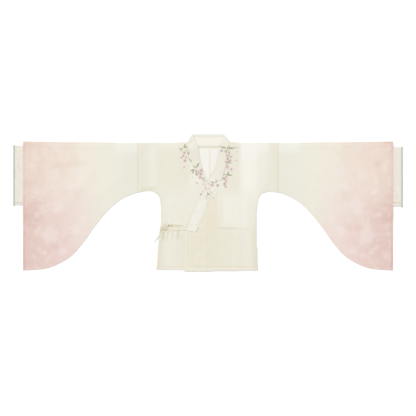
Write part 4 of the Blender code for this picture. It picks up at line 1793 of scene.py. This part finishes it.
class Ground:
    """The upper side of the laid cloth, on which needlework and trims are set down.

    Args:
        pieces: The pieces that make up that side.
    """

    def __init__(self, pieces: Sequence[Piece]) -> None:
        """Takes the pieces as they lie, with their walls."""
        graph = bpy.context.evaluated_depsgraph_get()
        self.trees = [BVHTree.FromObject(piece, graph) for piece in pieces]

    def height(self, x: float, d: float) -> float:
        """How high the cloth lies at a place, or 0 beside it.

        Args:
            x: Across.
            d: Down from the shoulder line.

        Returns:
            The height.
        """
        start = laid(x, d, 1.0)
        hits = [tree.ray_cast(start, -UP)[0] for tree in self.trees]
        return max([hit.z for hit in hits if hit], default=0.0)


@dataclass
class Stitching:
    """Rows of hand-set running stitches, each a small rounded stitch lying on the cloth."""

    ground: Ground
    pitch: float = 4.4 * MM
    long: float = 2.7 * MM
    thick: float = 0.55 * MM
    bm: Mesh = field(default_factory=bmesh.new)

    def row(self, line: Sequence[Row]) -> None:
        """Sews one row along a line of x and d in metres."""
        for x, d, heading in walk(line, self.pitch):
            self.stitch(x, d, heading, self.long)

    def stitch(self, x: float, d: float, heading: float, long: float) -> None:
        """Sets one stitch down.

        Args:
            x: Across.
            d: Down from the shoulder line.
            heading: The way it lies, in radians.
            long: Its length in metres.
        """
        size = Matrix.Diagonal((long / 2, self.thick / 2, self.thick / 2, 1.0))
        place = Matrix.Translation(laid(x, d, self.ground.height(x, d) + 0.1 * MM))
        turn = Matrix.Rotation(heading, 4, "Z")
        bmesh.ops.create_uvsphere(self.bm, u_segments=6, v_segments=4, radius=1.0,
                                  matrix=place @ turn @ size)


@dataclass
class RibbonLine:
    """A ribbon along rows of x, d, height of its middle and width, in millimetres."""

    rows: list[Row]
    thick: float = 0.7 * MM
    across: Vector | None = None
    cup: float = 0.0

    def rings(self, parts: int = 4) -> list[list[Vector]]:
        """The ribbon's rings along its line; across keeps its width level where the line turns back.

        Args:
            parts: How many steps a span is cut into.

        Returns:
            The rings.
        """
        points = [(laid(x * MM, d * MM, z * MM), w * MM) for x, d, z, w in curve(self.rows, parts)]
        rings = []
        for i, (middle, width) in enumerate(points):
            along = points[min(i + 1, len(points) - 1)][0] - points[max(i - 1, 0)][0]
            side = self.across or Vector((-along.y, along.x, 0)).normalized()
            lift = along.cross(side).normalized()
            ring = strip_ring(middle - side * width / 2, middle + side * width / 2, self.thick, lift, 5)
            for point in ring:
                share = (point - middle).dot(side) / (width / 2)
                point += lift * self.cup * share * share
            rings.append(ring)
        return rings

    def length(self) -> float:
        """The ribbon's length in metres."""
        points = [laid(x * MM, d * MM, z * MM) for x, d, z, w in curve(self.rows, 4)]
        return sum((b - a).length for a, b in zip(points, points[1:]))

    def make(self, node: str, material: Material) -> Piece:
        """Weaves the ribbon as a closed strip, in the place of a solid.

        Args:
            node: The solid that it stands for.
            material: Its finish.

        Returns:
            The ribbon.
        """
        bm = sweep(self.rings())
        stretch_uv(bm, self.length())
        close_ends(bm)
        piece = make_piece(f"{node}_ribbon", bm, material)
        stand_for(piece, node)
        return piece


@dataclass
class WaistTie:
    """The lapel's tie and the side seam's tie, knotted into a small bow with one long tail."""

    knot: Row = (-217.3, 445.5, 5.5)
    knot_size: Row = (9.0, 11.0, 4.4)
    # A loop from the knot out and back: share of its length, height, width
    bend: tuple[Row, ...] = (
        (0.0, -0.2, 4.8), (0.35, -1.0, 7.8), (0.75, -1.1, 9.2), (0.97, -0.2, 8.8),
        (0.98, 1.2, 8.6), (0.74, 2.3, 9.2), (0.34, 2.1, 7.8), (0.0, 0.9, 4.6),
    )

    def loop(self, node: str, root: Row, tip: Row, material: Material) -> Piece:
        """One open loop of the bow.

        Args:
            node: The solid that it stands for.
            root: Where it leaves the knot: x, d and height, in millimetres.
            tip: Where it turns back, in the same way.
            material: The ribbon's finish.

        Returns:
            The loop.
        """
        out = Vector((tip[0] - root[0], root[1] - tip[1], 0)).normalized()
        side = Vector((-out.y, out.x, 0))
        rows = []
        for t, high, width in self.bend:
            x, d = root[0] + (tip[0] - root[0]) * t, root[1] + (tip[1] - root[1]) * t
            rows.append((x, d, root[2] + (tip[2] - root[2]) * t + high, width))
        return RibbonLine(rows, 0.55 * MM, side).make(node, material)

    def wrap(self, material: Material) -> Piece:
        """The knot: the ribbon wound twice round the crossing, over a small core.

        Args:
            material: Its finish.

        Returns:
            The knot.
        """
        x, d, z = self.knot
        wide, tall, high = self.knot_size
        bm = bmesh.new()
        bm.loops.layers.uv.new("UVMap")
        bmesh.ops.create_uvsphere(bm, u_segments=16, v_segments=10, radius=1.0, calc_uvs=True)
        bmesh.ops.scale(bm, verts=bm.verts, vec=(wide * 0.42 * MM, tall * 0.42 * MM, high * 0.4 * MM))
        bmesh.ops.translate(bm, verts=bm.verts, vec=laid(x * MM, d * MM, z * MM))
        parts = [bm]
        for lean, shift, width, grow in ((0.22, -1.2, 5.2, 1.0), (-0.3, 1.5, 4.6, 1.08)):
            rings = []
            for i in range(20):
                a = math.tau * i / 20
                east, south = x + shift + lean * tall / 2 * math.cos(a), d + grow * tall / 2 * math.cos(a)
                middle = laid(east * MM, south * MM, (z + grow * high / 2 * math.sin(a)) * MM)
                lift = Vector((0.0, -math.cos(a) / tall, math.sin(a) / high)).normalized()
                side = Vector((1.0, lean, 0.0)).normalized() * width / 2 * MM
                rings.append(strip_ring(middle - side, middle + side, 0.8 * MM, lift, 5))
            band = sweep(rings, loop=True)
            stretch_uv(band, math.pi * (tall + high) / 2 * MM)
            bmesh.ops.recalc_face_normals(band, faces=band.faces)
            parts.append(band)
        piece = make_piece("tie_knot_wrap", join(parts), material)
        stand_for(piece, "tie_knot")
        return piece

    def build(self, ribbon: Material, shaded: Material, tail: Material) -> list[Piece]:
        """Lays the ties and ties the bow.

        Args:
            ribbon: The finish of the lapel's tie.
            shaded: The side tie's finish, darkened with painted shade.
            tail: The long tail's finish.

        Returns:
            The waist tie, then the pieces tied to it.
        """
        on_front, on_collar = 3.5, 6.1
        waist = RibbonLine([
            (-82, 446.5, on_collar, 11), (-90, 446.2, on_collar, 10.6), (-102, 445.8, on_collar, 10.8),
            (-110, 445.5, 5.7, 11), (-118, 445.3, 4.3, 11.2), (-128, 445.8, on_front, 11),
            (-142, 446.6, 3.6, 11.6), (-158, 446.4, on_front, 11), (-176, 445.5, 3.9, 10.4),
            (-190, 445.2, on_front, 10.2), (-204, 445, 4.0, 9), (-212.5, 445, 4.8, 6.5),
        ], 0.9 * MM, cup=-0.25 * MM)
        long_tie = waist.make("waist_tie", ribbon)
        side_tie = RibbonLine([
            (-221.8, 446, 4.8, 5.5), (-228, 446.5, 4.0, 8), (-236, 447, on_front, 10),
            (-243.5, 447.5, 3.4, 10.4),
        ], 0.9 * MM).make("side_tie", shaded)
        loops = [
            self.loop("bow_loop_left", (-220.0, 438.5, 5.0), (-240.5, 423.0, 4.6), ribbon),
            self.loop("bow_loop_right", (-214.8, 439.4, 5.0), (-205.6, 420.5, 4.6), ribbon),
        ]
        end = RibbonLine([
            (-213.2, 450.5, 5.0, 5), (-210.5, 454.5, 4.0, 6.4), (-207.5, 458.5, on_front, 7.6),
            (-204, 463.2, 3.5, 8.2),
        ]).make("tie_end", ribbon)
        hanging = RibbonLine([
            (-221.2, 451.0, 5.0, 5), (-225, 455, 4.1, 6), (-231, 459.6, on_front, 6.6),
            (-237, 465, 3.7, 6.4), (-243, 471, on_front, 6.2), (-249, 478, 3.6, 6.0),
            (-253.5, 484.5, 3.4, 6.0), (-258, 490, 2.5, 6.2), (-262, 495.5, 1.4, 6.4),
            (-266.5, 501.5, 0.6, 6.2), (-271, 508, 0.5, 6.0), (-276.5, 515, 0.5, 6.2),
        ]).make("tie_tail", tail)
        knot = self.wrap(ribbon)
        rest = [side_tie, knot, *loops, end, hanging]
        return [long_tie, *rest]


@dataclass(frozen=True)
class Lobe:
    """One leaf or petal worked in satin stitch, in millimetres: belly is where along it is widest."""

    long: float
    wide: float
    belly: float
    crown: float

    def add(self, bm: Mesh, ground: Ground, x: float, d: float, heading: float, tone: float) -> None:
        """Works the lobe on the cloth.

        Args:
            bm: The mesh that it joins.
            ground: The cloth under it.
            x: Where it starts, in millimetres.
            d: Where it starts, down from the shoulder line, in millimetres.
            heading: The way it points, in radians from +X towards the neck.
            tone: Its place between the floss's shades.
        """
        made = bmesh.ops.create_grid(bm, x_segments=6, y_segments=4, size=1.0, calc_uvs=True)["verts"]
        layer = bm.verts.layers.float["tone"]
        power = math.log(0.5) / math.log(self.belly)
        east, north = math.cos(heading), math.sin(heading)
        for vert in made:
            u, q = (vert.co.x + 1) / 2, vert.co.y
            full = max(math.sin(math.pi * u ** power), 0.0) ** 0.85
            a, b = self.long * u, self.wide / 2 * full * q
            px, pd = (x + a * east - b * north) * MM, (d - a * north - b * east) * MM
            dome = self.crown * full * (1 - q * q) * (1 - 0.35 * math.exp(-(q / 0.3) ** 2))
            vert.co = laid(px, pd, ground.height(px, pd) + (0.12 + dome) * MM)
            vert[layer] = tone


@dataclass
class Embroidery:
    """Two sprays of small blossoms that run down beside the collar, in a free layout by hand."""

    ground: Ground
    seed: int = 7

    # x, d, heading in degrees, leaves, their length: fans of leaves where stems part
    sprigs: tuple[Row, ...] = (
        (-124, 30, 50, 2, 24), (-132, 34, 215, 2, 19), (-100, 66, 80, 1, 18), (-96, 82, 290, 1, 17),
        (-84, 102, 110, 1, 16), (-61, 132, 68, 1, 28), (-66, 136, 122, 1, 22), (-70, 140, 218, 2, 26),
        (-62, 143, 284, 1, 25), (-52, 150, 330, 1, 15), (92, 30, 168, 1, 30), (103, 30, 350, 1, 30),
        (98, 34, 62, 1, 20), (96, 38, 245, 2, 23), (99, 108, 150, 1, 20), (101, 106, 20, 2, 18),
        (96, 168, 352, 1, 27), (95, 170, 48, 1, 20), (93, 170, 150, 1, 20), (92, 174, 300, 1, 15),
        (38, 208, 70, 1, 18), (33, 209, 172, 1, 22), (44, 218, 330, 2, 18), (-6, 258, 312, 1, 24),
        (-2, 268, 250, 1, 13),
    )
    # x, d, size: blossoms in full rose
    roses: tuple[Row, ...] = (
        (-122, 53, 14), (-104, 57, 13), (-126, 70, 14), (-113, 78, 16), (-135, 79, 13), (-118, 95, 15),
        (-35, 145, 16), (-57, 165, 14), (-36, 164, 15), (-41, 181, 15), (-25, 187, 14),
        (109, 55, 16), (98, 68, 13), (117, 76, 15), (100, 86, 15), (113, 95, 15), (99, 127, 17),
        (119, 140, 16), (83, 188, 15), (94, 199, 15), (85, 215, 16), (90, 230, 14),
        (21, 220, 17), (70, 45, 15), (-36, 268, 12),
    )
    # x, d, size: pale blossoms about the crossing
    pales: tuple[Row, ...] = (
        (-14, 200, 12), (-24, 216, 11), (3, 214, 13), (-12, 236, 14), (6, 240, 12), (-26, 252, 11),
        (-8, 288, 10), (16, 258, 11), (26, 286, 10), (-54, 212, 12),
    )
    # x, d, heading, length: petals and buds that drift off alone
    drifts: tuple[Row, ...] = (
        (-150, 82, 20, 12), (-130, 135, 40, 18), (-64, 211, 60, 11), (-40, 240, 110, 10),
        (-36, 272, 70, 10), (-118, 128, 200, 12), (-104, 118, 320, 10), (-96, 160, 30, 11),
        (-112, 176, 340, 9), (-82, 176, 300, 10),
        (134, 28, 10, 12), (150, 26, 350, 12), (158, 48, 200, 14), (136, 92, 340, 20), (128, 66, 330, 9),
        (-142, 102, 280, 8), (150, 66, 120, 8), (48, 262, 210, 9),
    )
    # x, d along each stem
    stems: tuple[tuple[Point, ...], ...] = (
        ((-140, 40), (-126, 28), (-114, 24), (-106, 40), (-102, 62), (-97, 84), (-86, 104),
         (-76, 122), (-64, 138)),
        ((-64, 138), (-50, 158), (-38, 176), (-26, 192), (-16, 214), (-8, 238), (-4, 262)),
        ((62, 23), (80, 28), (98, 34), (108, 50), (108, 74), (104, 92), (100, 108), (104, 130),
         (100, 152), (94, 170)),
        ((94, 170), (88, 188), (88, 208), (88, 226)),
        ((94, 170), (78, 186), (60, 198), (36, 208), (18, 222), (2, 238)),
        ((-106, 40), (-118, 54), (-130, 72), (-142, 82)), ((98, 34), (118, 34), (138, 30), (156, 34)),
    )

    def start(self) -> Mesh:
        """A mesh that carries a map and the floss's shade.

        Returns:
            The empty mesh.
        """
        bm = bmesh.new()
        bm.loops.layers.uv.new("UVMap")
        bm.verts.layers.float.new("tone")
        return bm

    def blossom(self, bm: Mesh, hearts: Mesh, row: Row, chance: random.Random, pale: bool) -> None:
        """Works one blossom: five petals round a knot of floss.

        Args:
            bm: The petals' mesh.
            hearts: The hearts' mesh.
            row: Its x, d and size in millimetres.
            chance: The source of chance.
            pale: Whether it is a pale one.
        """
        x, d, size = row
        size *= chance.uniform(0.9, 1.12)
        first = chance.uniform(0, math.tau)
        depth = chance.uniform(0.1, 0.2) if pale else chance.uniform(0.35, 0.85)
        petal = Lobe(size * 0.56, size * 0.5, 0.62, 0.55)
        for i in range(PETALS):
            heading = first + math.tau * i / PETALS + chance.uniform(-0.12, 0.12)
            tone = depth + chance.uniform(-0.15, 0.15)
            start = 0.06 * size
            from_x, from_d = x + start * math.cos(heading), d - start * math.sin(heading)
            petal.add(bm, self.ground, from_x, from_d, heading, tone)
        high = self.ground.height(x * MM, d * MM) + 0.7 * MM
        wide = (0.08 if pale else 0.115) * size * MM
        knot = Matrix.Translation(laid(x * MM, d * MM, high)) @ Matrix.Diagonal((wide, wide, 0.7 * MM, 1))
        bmesh.ops.create_uvsphere(hearts, u_segments=8, v_segments=5, radius=1.0, matrix=knot)

    def fan(self, bm: Mesh, row: Row, chance: random.Random) -> None:
        """Works a fan of leaves from one place on a stem.

        Args:
            bm: The leaves' mesh.
            row: Its x, d, heading, count and length.
            chance: The source of chance.
        """
        x, d, heading, count, long = row
        for i in range(int(count)):
            spread = (i - (count - 1) / 2) * 48 + chance.uniform(-10, 10)
            size = long * chance.uniform(0.8, 1.1)
            leaf = Lobe(size * 1.1, size * 0.36, 0.45, 0.5)
            leaf.add(bm, self.ground, x, d, math.radians(heading + spread), chance.random())

    def stem_mesh(self) -> Mesh:
        """Couches a cord along each stem, finer towards its end.

        Returns:
            The cords' mesh.
        """
        cords = []
        for line in self.stems:
            points = metres(curve(line, 4))
            rings = []
            for i, (x, d) in enumerate(points):
                a, b = points[max(i - 1, 0)], points[min(i + 1, len(points) - 1)]
                side = Vector((a[1] - b[1], a[0] - b[0], 0)).normalized()
                radius = (0.7 - 0.3 * i / len(points)) * MM
                middle = laid(x, d, self.ground.height(x, d) + 0.15 * MM)
                turns = [math.tau * k / 6 for k in range(6)]
                rings.append([middle + radius * (side * math.cos(t) + UP * math.sin(t)) for t in turns])
            cords.append(sweep(rings))
            close_ends(cords[-1])
        return join(cords)

    def build(self, leaf: Material, rose: Material, heart: Material, stem: Material) -> list[Piece]:
        """Works both sprays.

        Args:
            leaf: The leaves' floss.
            rose: The petals' floss.
            heart: The hearts' thread.
            stem: The stems' thread.

        Returns:
            Leaves, petals, hearts and stems.
        """
        chance = random.Random(self.seed)
        leaves, petals, hearts = self.start(), self.start(), bmesh.new()
        for row in self.sprigs:
            self.fan(leaves, row, chance)
        for row in self.roses:
            self.blossom(petals, hearts, row, chance, False)
        for row in self.pales:
            self.blossom(petals, hearts, row, chance, True)
        for x, d, heading, long in self.drifts:
            bud = Lobe(long, long * 0.42, 0.55, 0.5)
            bud.add(petals, self.ground, x, d, math.radians(heading), chance.uniform(0.2, 0.9))
        for bm in (leaves, petals):
            bmesh.ops.remove_doubles(bm, verts=bm.verts, dist=1e-6)
            face_up(bm)
        return [
            make_piece("needlework_leaves", leaves, leaf, NEEDLEWORK),
            make_piece("needlework_petals", petals, rose, NEEDLEWORK),
            make_piece("needlework_hearts", hearts, heart),
            make_piece("needlework_stems", self.stem_mesh(), stem),
        ]


@dataclass
class Studio:
    """The camera straight above, a soft key light, an even white surround and a pale floor."""

    view_width: float = 2.1335
    view_y: float = -0.027
    lens: float = 100.0
    sensor: float = 36.0
    key: float = 1.45
    surround: float = 0.805

    def build(self) -> None:
        """Sets the studio up round the jacket."""
        scene = bpy.context.scene
        camera = bpy.data.cameras.new("camera")
        camera.lens, camera.sensor_width = self.lens, self.sensor
        eye = bpy.data.objects.new("camera", camera)
        eye.location = (0.0, self.view_y, self.view_width * self.lens / self.sensor)
        scene.collection.objects.link(eye)
        scene.camera = eye

        lamp = bpy.data.lights.new("key", "SUN")
        lamp.energy, lamp.angle = self.key, math.radians(45)
        key = bpy.data.objects.new("key", lamp)
        key.rotation_euler = (math.radians(-30), math.radians(-26), 0.0)
        scene.collection.objects.link(key)

        world = bpy.data.worlds.new("surround")
        world.use_nodes = True
        light = world.node_tree.nodes["Background"].inputs
        light["Color"].default_value = (1.0, 1.0, 1.0, 1.0)
        light["Strength"].default_value = self.surround
        scene.world = world
        scene.view_settings.view_transform = "Standard"

        bm = bmesh.new()
        bmesh.ops.create_grid(bm, x_segments=4, y_segments=4, size=60.0)
        bmesh.ops.translate(bm, verts=bm.verts, vec=(0, 0, -0.6 * MM))
        mesh = bpy.data.meshes.new("floor")
        bm.to_mesh(mesh)
        bm.free()
        floor = bpy.data.objects.new("floor", mesh)
        scene.collection.objects.link(floor)
        paper = Dye("studio_paper_white", 0.9, 0.0)
        paper.ground = paper.scaled(paper.cloudy(2 * MM, 3.0), 0.94, 0.96)
        mesh.materials.append(paper.finish())


def sew(ground: Ground, collar: Collar, hems: SewingThread, trims: SewingThread) -> None:
    """Sews the rows of stitches that show: hems, lapel, mouths, collar and its end.

    Args:
        ground: The laid cloth.
        collar: The collar whose edges are stitched.
        hems: The thread of the hems.
        trims: The thread of the collar.
    """
    rows = Stitching(ground)
    for start, end in ((-260, -123), (-118, -3), (3, 254)):
        rows.row([(start * MM, HEM_LINE), (end * MM, HEM_LINE)])
    facing, mouth = -LAPEL + 12 * MM, MOUTH - MOUTH_HEM
    for x, start, end in ((facing, 462, 661), (-mouth, 3, 654), (mouth, 3, 654)):
        rows.row([(x, start * MM), (x, end * MM)])
    make_piece("hem_stitches", rows.bm, hems.make())
    edging = Stitching(ground, pitch=4.0 * MM, long=2.4 * MM, thick=0.5 * MM)
    front_right, back, front_left = collar.rows()
    shown = [row for row in front_right if row[1] < 195 * MM]
    for t in (0.07, 0.93):
        edging.row(collar.line(shown, t))
        edging.row(collar.line(back, t))
        edging.row(collar.line(front_left[2:], t))
    edging.row(collar.box())
    make_piece("collar_stitches", edging.bm, trims.make())


def main() -> None:
    """Builds the jacket piece by piece and sets up the studio."""
    logging.basicConfig(level=logging.INFO, format="%(name)s %(message)s")
    for thing in list(bpy.data.objects):
        if thing.type in ("MESH", "LIGHT", "CAMERA") and thing.name not in frame["nodes"]:
            bpy.data.objects.remove(thing, do_unlink=True)
    Studio().build()

    chiffon = ShadedChiffon().make()
    lapel_cloth = LapelChiffon().make()
    pieces = [BodyHalf(side).build(chiffon) for side in Side]
    pieces += [Lapel(side).build(lapel_cloth) for side in Side]
    pieces += [Sleeve(side).build(chiffon) for side in Side]
    gauze, satin = CuffGauze().make(), BindingSatin().make()
    for side in Side:
        pieces += Cuff(side).build(gauze, satin)
    collar = Collar()
    pieces.append(collar.build(CollarSilk().make()))

    ribbon = RibbonSatin("tie_ribbon_cream", "F1EBD6", "DCD1B2").make()
    # The side tie is darkened with painted shade, for the shadow it lies in beside the knot
    shaded = RibbonSatin("tie_ribbon_painted_shade", "DED4B4", "CBBE96").make()
    tail = RibbonSatin("tie_ribbon_grey_green", "EBECE3", "D6D9CC", "E8E3CB").make()
    WaistTie().build(ribbon, shaded, tail)

    bpy.context.view_layer.update()
    ground = Ground(pieces)
    olives = ((0.0, "C5C4A8"), (0.5, "B1B092"), (1.0, "D2D0B7"))
    roses = ((0.0, "F3E9E3"), (0.35, "ECDAD7"), (0.7, "E2CAC8"), (1.0, "D8B6B4"))
    leaf = EmbroideryFloss("floss_olive", olives, "A2A184").make()
    rose = EmbroideryFloss("floss_rose", roses, "C7A6A4", 14.0).make()
    heart = SewingThread("floss_heart", "94656A", "7A4F54").make()
    stem = SewingThread("floss_stem", "C2BB99", "A9A27E").make()
    Embroidery(ground).build(leaf, rose, heart, stem)
    hems = SewingThread("thread_hem", "DDD6BE", "C8BF9F")
    trims = SewingThread("thread_trim", "F6F2E6", "DAD2B8")
    sew(ground, collar, hems, trims)


if __name__ == "__main__":
    main()
